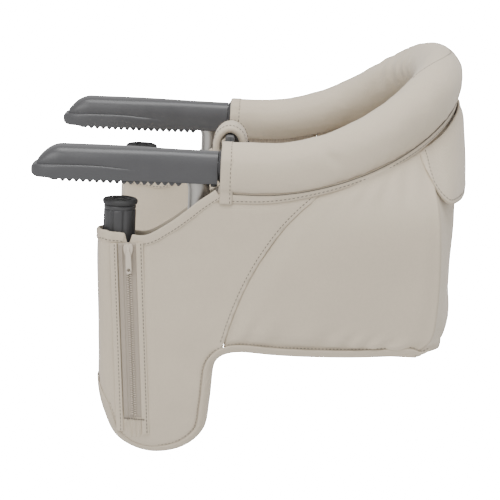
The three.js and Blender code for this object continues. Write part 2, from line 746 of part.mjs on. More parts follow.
/** How far the pad has grown at a place on the rim. */
function padGrowth(share) {
  const climb = (rimPlace(share).x - rimFront) / (RIM_BACK_REACH - rimFront);
  return THREE.MathUtils.lerp(1, RIM_PAD_BACK_GROWTH, climb);
}

/** Point beside the rim line, some way outwards and up. */
function besideRim(share, outwards, up) {
  const frame = rimFrame(share);
  return rimPlace(share).addScaledVector(frame.outwards, outwards).addScaledVector(frame.up, up);
}

/** Lower edge of the binding strip, from where the panels hang. */
function stripFoot(share, outwards = stripOuter, below = 0) {
  return besideRim(share, outwards, -RIM_PAD_DROP - padHalfHeight * padGrowth(share) - STRIP_DEPTH - below);
}

/** Share along the left half of the rim at which the strip's foot has a given reach along X. */
function shareAtReach(x) {
  let low = 0;
  let high = 0.5;
  for (let i = 0; i < 40; i += 1) {
    const middle = (low + high) / 2;
    if (stripFoot(middle).x < x) {
      low = middle;
    } else {
      high = middle;
    }
  }
  return low;
}

/** The rim line with the stations at which its sections are drawn. */
class RimLine extends THREE.Curve {
  constructor() {
    super();
    const curved = steps(24).map((s) => THREE.MathUtils.lerp(straightShare, 1 - straightShare, s));
    const levelShare = (straightShare * (riseStart - rimFront)) / (RIM_STRAIGHT_END - rimFront);
    const ends = [0, levelShare, (levelShare + straightShare) / 2];
    this.stations = [...ends, ...curved, ...ends.map((s) => 1 - s).reverse()];
  }

  getPointAt(u) {
    return rimPlace(this.stations[Math.round(u * (this.stations.length - 1))]);
  }

  getTangentAt(u) {
    return rimFrame(this.stations[Math.round(u * (this.stations.length - 1))]).along;
  }
}
const rimLine = new RimLine();
addPiece('rim_tube', pipe(rimLine, tubeRadius, boreRadius, 7), aluminium);

/** Section of the rim pad: a roll round the tube with the binding strip below it. */
function padSection(share) {
  const growth = padGrowth(share);
  const halfWidth = (RIM_PAD_WIDTH / 2) * growth;
  const halfHeight = padHalfHeight * growth;
  const roll = steps(14).map((s) => {
    const a = THREE.MathUtils.degToRad(THREE.MathUtils.lerp(-40, 288, s));
    return besideRim(share, halfWidth * Math.cos(a), halfHeight * Math.sin(a) - RIM_PAD_DROP);
  });
  const neck = -halfHeight - RIM_PAD_DROP;
  const strip = [
    besideRim(share, stripOuter - STRIP_SHEET, neck),
    stripFoot(share, stripOuter - STRIP_SHEET),
    stripFoot(share),
    besideRim(share, stripOuter, neck),
  ];
  return [...roll, ...strip];
}

/** Bore of the rim pad, past both its ends. */
function padBore() {
  const rings = rimLine.stations.map((share) => steps(12).slice(0, -1).map((s) => {
    const a = 2 * Math.PI * s;
    const radius = tubeRadius + 2 * FIT;
    return besideRim(share, radius * Math.cos(a), radius * Math.sin(a));
  }));
  rings[0].forEach((p) => p.setX(p.x - 1));
  rings[rings.length - 1].forEach((p) => p.setX(p.x - 1));
  return loft(rings);
}
addPiece('rim_pad', cut(loft(rimLine.stations.map(padSection)), padBore()), fabric);

// Curved seam between the sleeve and the side panel, as reach and depth
const seamPoints = [
  flat(SEAM_TOP_REACH, 0),
  flat(94, 0.12),
  flat(77, 0.26),
  flat(60, 0.446),
  flat(47, 0.63),
  flat(36.5, 0.83),
  flat(SEAM_FOOT_REACH, 1),
];
const seamTop = stripFoot(shareAtReach(SEAM_TOP_REACH), stripOuter, SEW_GAP);
const seamCurve = new THREE.SplineCurve(seamPoints);
const seamPlace = (v) => {
  const p = seamCurve.getPoint(v);
  return flat(p.x, THREE.MathUtils.lerp(seamTop.z, -SEAT_DEPTH, p.y));
};

/** Thin rear part of the sleeve, from the hook to the curved seam. */
function sleeveFlap() {
  const overlap = tubeRadius;
  const seam = steps(12).map((v) => {
    const tip = FLAP_TIP_ROOM * (1 - v) ** 3;
    return seamPlace(v).add(flat(-2 * SEW_GAP - tip, -tip / 2));
  });
  const underStrip = steps(5).slice(0, -1).map((s) => {
    const share = THREE.MathUtils.lerp(0, shareAtReach(SEAM_TOP_REACH), s);
    const p = stripFoot(share, stripOuter, SEW_GAP);
    return flat(p.x, p.z);
  });
  const low = seamPlace(1);
  const outline = [
    flat(overlap, mouthPoints[6].y - 12),
    flat(rimFront - 2, underStrip[0].y),
    ...underStrip,
    ...seam,
    flat(low.x - 5, low.y - 11),
    flat(sleeveRear - 0.6, low.y - 20),
    flat(overlap, low.y - 20),
  ];
  return plate(outline.reverse(), sleeveFace, sleeveFace + FLAP_SHEET);
}

/** The sleeve: a flat bag round the hook, open at the top, with its flap to the seam. */
function sleeve() {
  const farFace = sleeveFace + SLEEVE_THICKNESS;
  const outside = plate(bagOutline, sleeveFace, farFace, SLEEVE_ROUNDING, 0);
  const inside = plate(
    bagOutline, sleeveFace + SLEEVE_WALL, farFace - SLEEVE_WALL, SLEEVE_ROUNDING, SLEEVE_WALL);
  const notch = box(
    point(tubeRadius, sleeveFace + FLAP_SHEET, -SLEEVE_REAR_NOTCH),
    point(ARM_SPACING, farFace - SLEEVE_WALL, ARM_SPACING));
  const nearCut = mouthRoom(0, sleeveFace - 1, armY);
  const farCut = mouthRoom(-SLEEVE_INNER_DROP, armY - 1, farFace + 1);
  return join(cut(outside, inside, nearCut, farCut, notch), sleeveFlap());
}
addPair('sleeve', sleeve(), fabric);

// Zip on the sleeve's outer face, leaning back towards its lower end
const zipTop = flat(-LEG_SPACING - tubeRadius - SLEEVE_FRONT_MARGIN + ZIP_TOP_INSET, -ZIP_TOP_DEPTH);
const zipLean = THREE.MathUtils.degToRad(ZIP_LEAN);

/** Places a zip piece drawn downwards from the zip's top, its faces towards -Y. */
function onZip(geometry) {
  return geometry.rotateY(-zipLean).translate(zipTop.x, 0, zipTop.y);
}
const zipTapeFace = zipFace - ZIP_TAPE_SHEET;
const tapeHalf = ZIP_TAPE_WIDTH / 2;
const tape = box(point(-tapeHalf, zipTapeFace, -ZIP_LENGTH), point(tapeHalf, zipFace, 0));
addPair('zip_tape', onZip(tape), zipPlastic);
const chainFace = zipTapeFace - FIT - ZIP_CHAIN_HEIGHT;
const chainHalf = ZIP_CHAIN_WIDTH / 2;
const chainEnd = ZIP_LENGTH - SLIDER_LENGTH / 2;
const chain = box(point(-chainHalf, chainFace, -chainEnd), point(chainHalf, zipTapeFace - FIT, -1));
addPair('zip_chain', onZip(chain), zipPlastic);
const sliderFace = chainFace - FIT - SLIDER_SHEET;
const sliderHalf = SLIDER_WIDTH / 2;
const sliderBlock = box(
  point(-sliderHalf, sliderFace, -SLIDER_LENGTH - 1), point(sliderHalf, zipTapeFace - FIT, -1));
const sliderSlot = box(
  point(-chainHalf - FIT, chainFace - FIT, -2 * SLIDER_LENGTH),
  point(chainHalf + FIT, zipFace, SLIDER_LENGTH));
addPair('zip_slider', onZip(cut(sliderBlock, sliderSlot)), zipPlastic);

/** Zip pull: a rounded tab with a hole, hung in front of the slider. */
function zipPull() {
  const half = PULL_WIDTH / 2;
  const shape = new THREE.Shape();
  shape.moveTo(-half, 0).lineTo(-half, -PULL_LENGTH + half);
  shape.absarc(0, -PULL_LENGTH + half, half, Math.PI, 2 * Math.PI);
  shape.lineTo(half, 0).lineTo(-half, 0);
  const hole = new THREE.Path().absarc(0, -PULL_LENGTH + half, half / 2, 0, 2 * Math.PI, true);
  shape.holes.push(hole);
  const tab = new THREE.ExtrudeGeometry(shape, { depth: PULL_SHEET, bevelEnabled: false, curveSegments: 6 });
  return tab.rotateX(Math.PI / 2).translate(0, sliderFace - FIT, -SLIDER_LENGTH / 2);
}
addPair('zip_pull', onZip(zipPull()), zipPlastic);

// Side panels and back panel, stretched between the strip, the seams and the seat base
const shareAtRearSeam = shareAtReach(REAR_SEAM_TOP_REACH);
const rearSeamTop = stripFoot(shareAtRearSeam, stripOuter, SEW_GAP);
const panelFace = sleeveFace;
const panelRows = steps(9);
const backColumns = steps(12);
const rearSeam = new THREE.CatmullRomCurve3([
  rearSeamTop,
  point(REAR_SEAM_REACH - 3, panelFace + 3, -TUB_CORNER),
  point(REAR_SEAM_REACH, panelFace, -SEAT_DEPTH + 2.3 * TUB_CORNER),
  point(REAR_SEAM_REACH - 0.25 * TUB_CORNER, panelFace, -SEAT_DEPTH + 0.7 * TUB_CORNER),
  point(REAR_SEAM_REACH - TUB_CORNER, panelFace, -SEAT_DEPTH),
]);
const seamOn3d = (v) => {
  const p = seamPlace(v);
  return point(p.x, panelFace, p.y);
};
const sideTop = (u) => {
  const share = THREE.MathUtils.lerp(shareAtReach(SEAM_TOP_REACH), shareAtRearSeam, u);
  const p = stripFoot(share, stripOuter, SEW_GAP);
  const settle = (1 - u) ** 2;
  return p.setY(THREE.MathUtils.lerp(p.y, panelFace, settle));
};
const sideBottom = (u) => point(
  THREE.MathUtils.lerp(SEAM_FOOT_REACH, REAR_SEAM_REACH - TUB_CORNER, u), panelFace, -SEAT_DEPTH);
const sideSurface = stretched(sideTop, sideBottom, seamOn3d, (v) => rearSeam.getPoint(v));
addPair('side_panel', sheetOn(sideSurface, steps(10), panelRows, point(0, 1, 0), 0, PANEL_SHEET), fabric);

const backInset = PANEL_SHEET + SEW_GAP;
const backEdge = (v) => rearSeam.getPoint(v).add(point(0, backInset, 0));
const twin = (p) => p.setY(-p.y);
const backTop = (u) => {
  const share = THREE.MathUtils.lerp(shareAtRearSeam, 1 - shareAtRearSeam, u);
  const p = stripFoot(share, stripOuter, SEW_GAP);
  p.y += backInset * (1 - 2 * u);
  return p;
};
const bowAt = (u) => BACK_BOW * (1 - (2 * u - 1) ** 4);
const backBottom = (u) => point(
  REAR_SEAM_REACH - TUB_CORNER + bowAt(u),
  THREE.MathUtils.lerp(panelFace + backInset, -panelFace - backInset, u),
  -SEAT_DEPTH);
const backStretch = stretched(backTop, backBottom, backEdge, (v) => twin(backEdge(v)));
const backSurface = (u, v) => {
  const draw = BACK_DRAW * (1 - (2 * u - 1) ** 2) * Math.sin(Math.PI * v ** 0.7);
  return backStretch(u, v).add(point(-draw, 0, 0));
};
const rearwards = point(1, 0, 0);
addPiece('back_panel', sheetOn(backSurface, backColumns, panelRows, rearwards, 0, -PANEL_SHEET), fabric);

/** Quilted seat base: a crowned pad whose rear edge follows the back panel. */
function seatBase() {
  const top = -SEAT_DEPTH - SEW_GAP;
  const half = -panelFace;
  const rear = (u) => point(
    REAR_SEAM_REACH - TUB_CORNER + bowAt(u), THREE.MathUtils.lerp(-half, half, u), top);
  const surface = (u, v) => {
    const p = point(BASE_FRONT_REACH, THREE.MathUtils.lerp(-half, half, u), top).lerp(rear(u), v);
    const crown = Math.sin(Math.PI * u) * Math.sin(Math.PI * v);
    const clear = THREE.MathUtils.smoothstep(Math.min(u, 1 - u, v, 1 - v), 0.04, 0.3);
    return p.setZ(p.z + BASE_CROWN * crown * clear);
  };
  const us = steps(10);
  const vs = steps(8);
  const outer = vs.map((v) => us.map((u) => surface(u, v)));
  const inner = vs.map((v) => us.map((u) => surface(u, v).setZ(top - BASE_SHEET)));
  return sheet(outer, inner);
}
addPiece('seat_base', seatBase(), fabric);

// Crotch strap: a band from the front of the base up to a loop for the belt
const loopLow = armBottom + LOOP_HEIGHT - LOOP_LENGTH / 2;
const strapFoot = flat(BASE_FRONT_REACH - SEW_GAP, -SEAT_DEPTH - SEW_GAP - BASE_SHEET);

/** Ellipse outline of the loop, drawn in by an inset. */
function loopOutline(inset) {
  return steps(20).slice(0, -1).map((s) => {
    const a = 2 * Math.PI * s;
    const x = LOOP_REACH + (LOOP_WIDTH / 2 - inset) * Math.cos(a);
    return flat(x, armBottom + LOOP_HEIGHT + (LOOP_LENGTH / 2 - inset) * Math.sin(a));
  });
}

/** The strap, widened towards its foot. */
function crotchStrap() {
  const half = STRAP_WIDTH / 2;
  const loop = cut(plate(loopOutline(0), -half, half), plate(loopOutline(STRAP_SHEET), -half - 1, half + 1));
  const path = new THREE.SplineCurve([
    strapFoot,
    flat(strapFoot.x - 3, -SEAT_DEPTH + 8),
    flat(LOOP_REACH + 14, -SEAT_DEPTH / 2),
    flat(LOOP_REACH, loopLow - 12),
    flat(LOOP_REACH - 2, loopLow + STRAP_SHEET / 2),
  ]).getPoints(12);
  const back = path.map((p) => p.clone());
  const front = path.map((p) => flat(p.x - STRAP_SHEET, p.y)).reverse();
  const band = plate([...back, ...front], -half, half);
  const strap = welded(join(loop, band));
  const corners = strap.getAttribute('position');
  for (let i = 0; i < corners.count; i += 1) {
    const share = THREE.MathUtils.clamp((loopLow - corners.getZ(i)) / (loopLow - strapFoot.y), 0, 1);
    corners.setY(i, corners.getY(i) * THREE.MathUtils.lerp(1, STRAP_FOOT_WIDTH / STRAP_WIDTH, share));
  }
  return strap;
}
addPiece('crotch_strap', crotchStrap(), fabric);

// Waist belt: a socket and a tongue in the loop, and a webbing from each to the side panels
const buckleMiddle = armBottom + LOOP_HEIGHT;
const buckleBox = (nearY, farY, inset) => box(
  point(LOOP_REACH - BUCKLE_SHEET / 2 + inset, nearY, buckleMiddle - BUCKLE_HEIGHT / 2 + inset),
  point(LOOP_REACH + BUCKLE_SHEET / 2 - inset, farY, buckleMiddle + BUCKLE_HEIGHT / 2 - inset));
const socketCavity = buckleBox(-PRONG_LENGTH - FIT, 1, SOCKET_WALL);
addPiece('buckle_socket', cut(buckleBox(-SOCKET_LENGTH, 0, 0), socketCavity), buckleGrey);
const prong = buckleBox(-PRONG_LENGTH, FIT + 1, SOCKET_WALL + FIT);
addPiece('buckle_tongue', join(buckleBox(FIT, TONGUE_LENGTH, 0), prong), buckleGrey);

/** Webbing from a place on the belt line to the inside of a side panel. */
function beltWebbing(startY, side) {
  const onPanel = (u, away) => {
    const p = sideSurface(u, BELT_ANCHOR_ROW).add(point(0, PANEL_SHEET + away + BELT_SHEET / 2, 0));
    return side > 0 ? twin(p) : p;
  };
  const anchor = onPanel(BELT_ANCHOR_COLUMN, 4 * FIT);
  const approach = onPanel(BELT_ANCHOR_COLUMN - 0.1, 2 * BELT_SHEET);
  const line = new THREE.CatmullRomCurve3([
    point(LOOP_REACH, startY, buckleMiddle),
    point(1.25 * LOOP_REACH, startY + side * 0.56 * BELT_WIDTH, buckleMiddle - 0.24 * BELT_WIDTH),
    point(2.5 * LOOP_REACH, -side * 0.594 * armY, THREE.MathUtils.lerp(buckleMiddle, approach.z, 0.45)),
    point(4.33 * LOOP_REACH, -side * 0.877 * armY, approach.z + 0.48 * BELT_WIDTH),
    approach,
    anchor,
  ]);
  const rings = steps(14).map((s) => {
    const p = line.getPoint(s);
    const along = line.getTangent(s);
    const across = point(along.y, -along.x, 0).normalize().multiplyScalar(BELT_SHEET / 2);
    const up = point(0, 0, BELT_WIDTH / 2);
    return [[1, 1], [-1, 1], [-1, -1], [1, -1]].map(
      ([a, b]) => p.clone().addScaledVector(across, a).addScaledVector(up, b));
  });
  return loft(rings);
}
addPiece('left_belt', beltWebbing(-SOCKET_LENGTH - FIT, -1), webbing);
addPiece('right_belt', beltWebbing(TONGUE_LENGTH + FIT, 1), webbing);

// Storage pocket on the back panel and the flap that covers it
const pocketColumns = backColumns.slice(2, -2);
const pocketRows = panelRows.slice(1, 4);
const drawnIn = (shares, first, last) => [shares[0] + first, ...shares.slice(1, -1), shares.at(-1) - last];
const pocketOutside = sheetOn(backSurface, pocketColumns, pocketRows, rearwards, POCKET_SHEET, SEW_GAP);
const pocketInside = sheetOn(
  backSurface, drawnIn(pocketColumns, 0.01, 0.01), drawnIn(pocketRows, -0.02, 0.01), rearwards,
  POCKET_SHEET - POCKET_WALL, SEW_GAP + POCKET_WALL);
addPiece('back_pocket', cut(pocketOutside, pocketInside), lining);

/** Flap over the pocket, hung from below the strip and rounded at its lower corners. */
function pocketFlap() {
  const columns = drawnIn(backColumns, FLAP_SIDE_INSET, FLAP_SIDE_INSET);
  const overPocket = POCKET_SHEET + 3 * SEW_GAP;
  const grid = (offset) => [0, 0.1, 0.22, 0.45, 0.72, 1].map((row) => columns.map((u) => {
    const round = Math.sqrt(1 - Math.abs(2 * u - 1) ** FLAP_SQUARENESS);
    const level = backTop(u).z;
    const v = ((level + FLAP_FOOT_DEPTH) / (level + SEAT_DEPTH)) * round * row;
    const hem = 1.6 * SEW_GAP + FLAP_WING_ROOM * (2 * u - 1) ** 2;
    const risen = THREE.MathUtils.smoothstep(v, 0, 0.6 * pocketRows[0]);
    const swell = THREE.MathUtils.lerp(hem, overPocket, risen);
    return backSurface(u, v).addScaledVector(rearwards, swell + offset);
  }));
  return sheet(grid(POCKET_FLAP_SHEET), grid(0));
}
addPiece('pocket_flap', pocketFlap(), fabric);

export default chair;
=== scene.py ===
"""Dresses the hook-on table chair: sewn seat, moulded arms, clamps, zips and straps, camera and studio."""
import logging
import math
from dataclasses import dataclass
from enum import Enum
from functools import cached_property
from typing import Callable, Sequence

import bmesh
import bpy
from mathutils import Matrix, Vector, noise
from mathutils.bvhtree import BVHTree


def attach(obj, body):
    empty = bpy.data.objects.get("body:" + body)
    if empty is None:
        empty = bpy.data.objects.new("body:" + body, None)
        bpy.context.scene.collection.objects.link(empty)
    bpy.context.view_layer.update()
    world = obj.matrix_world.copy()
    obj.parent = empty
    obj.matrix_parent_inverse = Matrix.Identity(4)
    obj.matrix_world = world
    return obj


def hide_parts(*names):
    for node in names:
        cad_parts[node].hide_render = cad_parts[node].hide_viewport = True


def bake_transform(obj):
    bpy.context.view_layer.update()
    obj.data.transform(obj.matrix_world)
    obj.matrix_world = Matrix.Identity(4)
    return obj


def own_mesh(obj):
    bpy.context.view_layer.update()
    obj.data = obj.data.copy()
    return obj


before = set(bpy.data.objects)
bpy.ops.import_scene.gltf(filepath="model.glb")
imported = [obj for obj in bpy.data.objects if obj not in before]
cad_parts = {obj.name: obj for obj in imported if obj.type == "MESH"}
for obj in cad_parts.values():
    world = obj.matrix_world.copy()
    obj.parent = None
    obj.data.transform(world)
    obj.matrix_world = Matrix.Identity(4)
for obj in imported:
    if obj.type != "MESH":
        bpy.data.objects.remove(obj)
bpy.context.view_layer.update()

MM = 0.001
LOG = logging.getLogger("table_chair")
Colour = tuple[float, float, float]
Triple = tuple[float, float, float]
Profile = Sequence[tuple[float, float]]
Line = Sequence[Vector]
Shape = bmesh.types.BMesh
Piece = bpy.types.Object
Socket = bpy.types.NodeSocket


class Side(Enum):
    """The two sides of the chair; the left one is nearest in the photograph."""

    LEFT = "left"
    RIGHT = "right"

    @property
    def sign(self) -> float:
        """Direction of this side along Y."""
        return -1.0 if self is Side.LEFT else 1.0

    def of(self, stem: str) -> str:
        """Name of this side's piece."""
        return f"{self.value}_{stem}"


def lerp(low: float, high: float, share: float) -> float:
    """Value some share of the way from low to high."""
    return low + (high - low) * share


def ease(share: float) -> float:
    """Smooth step from 0 to 1."""
    held = min(1.0, max(0.0, share))
    return held * held * (3.0 - 2.0 * held)


def power(value: float, exponent: float) -> float:
    """Power of a signed value, its sign kept."""
    return math.copysign(abs(value) ** exponent, value)


def bump(value: float, width: float) -> float:
    """Bell of height 1 round zero."""
    return math.exp(-((value / width) ** 2))


def on_spline(points: Line, share: float) -> Vector:
    """Place on a centripetal Catmull-Rom curve.

    Args:
        points: The points that the curve goes through.
        share: Place along it, counted in points, from 0 to 1.

    Returns:
        The place.
    """
    last = len(points) - 1
    at = min(share * last, last - 1e-6)
    i = int(at)
    ends = [2 * points[0] - points[1], *points, 2 * points[-1] - points[-2]]
    a, b, c, d = ends[i:i + 4]
    first = math.sqrt((b - a).length)
    middle = first + math.sqrt((c - b).length)
    end = middle + math.sqrt((d - c).length)
    t = lerp(first, middle, at - i)
    ab = a.lerp(b, t / first)
    bc = b.lerp(c, (t - first) / (middle - first))
    cd = c.lerp(d, (t - middle) / (end - middle))
    abc = ab.lerp(bc, t / middle)
    bcd = bc.lerp(cd, (t - first) / (end - first))
    return abc.lerp(bcd, (t - first) / (middle - first))


def lengths_along(points: Line) -> list[float]:
    """Way along a line of points up to each of them."""
    lengths = [0.0]
    for a, b in zip(points, points[1:]):
        lengths.append(lengths[-1] + (b - a).length)
    return lengths


def walk(points: Line, spacing: float) -> list[Vector]:
    """Points at even spacing along a line of points.

    Args:
        points: The line.
        spacing: About how far apart the new points are.

    Returns:
        The new points, with both ends of the line.
    """
    lengths = lengths_along(points)
    count = max(2, round(lengths[-1] / spacing))
    out = []
    j = 0
    for k in range(count + 1):
        goal = lengths[-1] * k / count
        while j < len(points) - 2 and lengths[j + 1] < goal:
            j += 1
        step = max(1e-9, lengths[j + 1] - lengths[j])
        out.append(points[j].lerp(points[j + 1], min(1.0, (goal - lengths[j]) / step)))
    return out


def smooth_line(points: Line, steps: int, spacing: float) -> list[Vector]:
    """Points at even spacing along the curve through some points."""
    return walk([on_spline(points, k / steps) for k in range(steps + 1)], spacing)


def angles(count: int) -> list[float]:
    """Angles that share out a full turn."""
    return [2 * math.pi * k / count for k in range(count)]


def tangents_of(path: Line) -> list[Vector]:
    """Direction of a path at each of its points."""
    last = len(path) - 1
    return [(path[min(last, i + 1)] - path[max(0, i - 1)]).normalized() for i in range(len(path))]


def distance_to(path: Line, spot: Vector) -> float:
    """Shortest way from a spot to a line of points, both flat."""
    best = 1e9
    for a, b in zip(path, path[1:]):
        run = b - a
        share = min(1.0, max(0.0, (spot - a).dot(run) / max(1e-9, run.length_squared)))
        best = min(best, (a + run * share - spot).length_squared)
    return math.sqrt(best)


def grid_shape(columns: int, rows: int, place: Callable[[int, int], Vector]) -> Shape:
    """Grid whose points are put where a rule says.

    Args:
        columns: Faces across.
        rows: Faces along.
        place: Gives the place of the point in a column and a row.

    Returns:
        The shape.
    """
    shape = bmesh.new()
    bmesh.ops.create_grid(shape, x_segments=columns, y_segments=rows, size=0.5)
    for vert in shape.verts:
        vert.co = place(round((vert.co.x + 0.5) * columns), round((vert.co.y + 0.5) * rows))
    return shape


def tube_shape(columns: int, rows: int, place: Callable[[int, int], Vector], capped: bool = True) -> Shape:
    """Grid closed round its columns, with its ends filled if asked."""
    shape = grid_shape(columns, rows, lambda i, j: place(i % columns, j))
    bmesh.ops.remove_doubles(shape, verts=shape.verts, dist=1e-4)
    if capped:
        rims = [edge for edge in shape.edges if edge.is_boundary]
        bmesh.ops.holes_fill(shape, edges=rims, sides=0)
    bmesh.ops.recalc_face_normals(shape, faces=shape.faces)
    return shape


def sweep_shape(path: Line, outs: Line, profile: Callable[[int], Profile], capped: bool = True) -> Shape:
    """Closed profile drawn along a path.

    Args:
        path: Places along the way.
        outs: Which way is out at each place.
        profile: Gives the profile at a place, as steps to the side and out.
        capped: Whether the ends are filled.

    Returns:
        The shape.
    """
    along = tangents_of(path)
    rings = []
    for j, spot in enumerate(path):
        side = along[j].cross(outs[j]).normalized()
        out = side.cross(along[j])
        rings.append([spot + side * across + out * proud for across, proud in profile(j)])
    return tube_shape(len(rings[0]), len(path) - 1, lambda i, j: rings[j][i], capped)


def soften(profile: Profile, radius: float, steps: int = 4) -> list[tuple[float, float]]:
    """Open profile with its inner corners rounded."""
    spots = [Vector(p) for p in profile]
    out = [spots[0]]
    for a, b, c in zip(spots, spots[1:], spots[2:]):
        reach = min(radius, (b - a).length / 2.1, (c - b).length / 2.1)
        start = b + (a - b).normalized() * reach
        end = b + (c - b).normalized() * reach
        for k in range(steps + 1):
            t = k / steps
            out.append(start.lerp(b, t).lerp(b.lerp(end, t), t))
    out.append(spots[-1])
    return [(p.x, p.y) for p in out]


def turned_shape(profile: Profile, centre: Vector, axis: Vector, steps: int = 48) -> Shape:
    """Profile of radius and height spun round an axis."""
    shape = bmesh.new()
    side = axis.orthogonal().normalized()
    verts = [shape.verts.new(centre + side * radius + axis * height) for radius, height in profile]
    edges = [shape.edges.new(pair) for pair in zip(verts, verts[1:])]
    bmesh.ops.spin(shape, geom=[*verts, *edges], cent=centre, axis=axis, dvec=(0, 0, 0),
                   angle=2 * math.pi, steps=steps, use_merge=True)
    bmesh.ops.remove_doubles(shape, verts=shape.verts, dist=1e-4)
    bmesh.ops.recalc_face_normals(shape, faces=shape.faces)
    return shape


def cut_cloth(outline: Line, cell: float) -> Shape:
    """Flat cloth in the plane of X and Z, cut to an outline and divided into even cells."""
    shape = bmesh.new()
    shape.faces.new([shape.verts.new((p.x, 0.0, p.y)) for p in outline])
    for axis, pick in ((Vector((1, 0, 0)), 0), (Vector((0, 0, 1)), 1)):
        low = min(p[pick] for p in outline)
        high = max(p[pick] for p in outline)
        for k in range(1, math.ceil((high - low) / cell)):
            whole = [*shape.verts, *shape.edges, *shape.faces]
            spot = axis * (low + k * cell)
            bmesh.ops.bisect_plane(shape, geom=whole, dist=1e-4, plane_co=spot, plane_no=axis)
    bmesh.ops.remove_doubles(shape, verts=shape.verts, dist=0.25)
    bmesh.ops.dissolve_degenerate(shape, edges=shape.edges, dist=0.05)
    return shape


def face_out(shape: Shape, out: Callable[[bmesh.types.BMFace], float]) -> None:
    """Turns the faces of an open shape to the side that a rule calls out."""
    bmesh.ops.recalc_face_normals(shape, faces=shape.faces)
    if sum(out(face) for face in shape.faces) < 0:
        bmesh.ops.reverse_faces(shape, faces=shape.faces)


def join_shape(whole: Shape, part: Shape) -> None:
    """Adds a part to a shape and uses it up."""
    mesh = bpy.data.meshes.new("part")
    part.to_mesh(mesh)
    part.free()
    whole.from_mesh(mesh)
    bpy.data.meshes.remove(mesh)


def add_plate(shape: Shape, spots: Sequence[Sequence[float]], depth: float) -> None:
    """Adds a plate to a shape, from its outline and its depth along Y."""
    face = shape.faces.new([shape.verts.new(p) for p in spots])
    far = bmesh.ops.extrude_face_region(shape, geom=[face])["geom"]
    moved = [g for g in far if isinstance(g, bmesh.types.BMVert)]
    bmesh.ops.translate(shape, vec=(0, depth, 0), verts=moved)


def area_of(shape: Shape) -> float:
    """Area of a shape in square metres."""
    return sum(face.calc_area() for face in shape.faces) * MM * MM


@dataclass(frozen=True)
class StitchGauge:
    """Size and spacing of a row of stitches, in millimetres."""

    pitch: float = 4.0
    length: float = 2.9
    radius: float = 0.42
    sink: float = 0.08

    def sewn(self, path: Line, outs: Line) -> Shape:
        """One row of stitches as a shape of its own."""
        shape = bmesh.new()
        self.sew(shape, path, outs)
        return shape

    def sew(self, shape: Shape, path: Line, outs: Line) -> None:
        """Adds the stitches along a path to a shape.

        Args:
            shape: The shape that takes them.
            path: The seam's places.
            outs: Which way is out of the cloth at each place.
        """
        spots = walk(path, self.pitch / 4)
        share = (len(outs) - 1) / max(1, len(spots) - 1)
        along = tangents_of(spots)
        for k in range(2, len(spots) - 1, 4):
            out = outs[min(len(outs) - 1, round(k * share))].normalized()
            side = along[k].cross(out).normalized()
            out = side.cross(along[k])
            turn = Matrix((along[k], side, out)).transposed().to_4x4()
            size = Matrix.Diagonal((self.length / 2, self.radius, self.radius * 0.8, 1))
            place = Matrix.Translation(spots[k] + out * self.sink) @ turn @ size
            bmesh.ops.create_icosphere(shape, subdivisions=1, radius=1.0, matrix=place)


class NodeSheet:
    """Small helper that lays out a material's nodes."""

    def __init__(self, name: str) -> None:
        """Starts a material with an empty Principled surface."""
        self.material = bpy.data.materials.new(name)
        self.material.use_nodes = True
        self.tree = self.material.node_tree
        self.surface = self.tree.nodes["Principled BSDF"]
        self.coords = self.add("ShaderNodeTexCoord").outputs["Object"]

    def add(self, kind: str, **inputs: object) -> bpy.types.Node:
        """Adds a node and fills or links its inputs by name."""
        node = self.tree.nodes.new(kind)
        for key, value in inputs.items():
            socket = node.inputs[key.replace("_", " ")]
            if isinstance(value, Socket):
                self.tree.links.new(value, socket)
            else:
                socket.default_value = value
        return node

    def link(self, output: Socket, name: str) -> None:
        """Links an output to an input of the surface."""
        self.tree.links.new(output, self.surface.inputs[name])

    def set(self, name: str, value: object) -> None:
        """Sets a constant on an input of the surface."""
        self.surface.inputs[name].default_value = value

    def grain(self, scale: float, detail: float = 3.0, stretch: Triple = (1, 1, 1)) -> Socket:
        """Noise in the piece's own coordinates, from 0 to 1."""
        mapped = self.add("ShaderNodeMapping", Vector=self.coords, Scale=stretch)
        grain = self.add("ShaderNodeTexNoise", Vector=mapped.outputs[0], Scale=scale, Detail=detail)
        return grain.outputs[0]

    def threads(self, direction: Triple, pitch: float) -> Socket:
        """Rows of threads across a direction, from 0 to 1."""
        turned = self.add("ShaderNodeVectorMath", Vector=self.coords)
        turned.operation = "DOT_PRODUCT"
        turned.inputs[1].default_value = direction
        phase = self.math("MULTIPLY", turned.outputs["Value"], 2 * math.pi / pitch)
        wave = self.math("SINE", phase, 0.0)
        return self.math("MULTIPLY_ADD", wave, 0.5, 0.5)

    def math(self, operation: str, first: Socket, *rest: object) -> Socket:
        """Arithmetic on sockets and numbers."""
        node = self.tree.nodes.new("ShaderNodeMath")
        node.operation = operation
        for socket, value in zip(node.inputs, (first, *rest)):
            if isinstance(value, Socket):
                self.tree.links.new(value, socket)
            else:
                socket.default_value = value
        return node.outputs[0]

    def tint(self, share: Socket, dark: Colour, light: Colour) -> Socket:
        """Colour between two by a share."""
        node = self.tree.nodes.new("ShaderNodeMix")
        node.data_type = "RGBA"
        self.tree.links.new(share, node.inputs["Factor"])
        node.inputs["A"].default_value = (*dark, 1)
        node.inputs["B"].default_value = (*light, 1)
        return node.outputs["Result"]

    def ranged(self, value: Socket, low: float, high: float) -> Socket:
        """Value stretched from 0..1 to a range."""
        return self.math("MULTIPLY_ADD", value, high - low, low)

    def relief(self, height: Socket, strength: float, depth: float) -> None:
        """Bump on the surface, its depth in metres."""
        node = self.add("ShaderNodeBump", Height=height, Strength=strength, Distance=depth)
        self.link(node.outputs[0], "Normal")


def shade(colour: Colour, by: float) -> Colour:
    """Colour made lighter or darker."""
    return tuple(min(1.0, channel * by) for channel in colour)


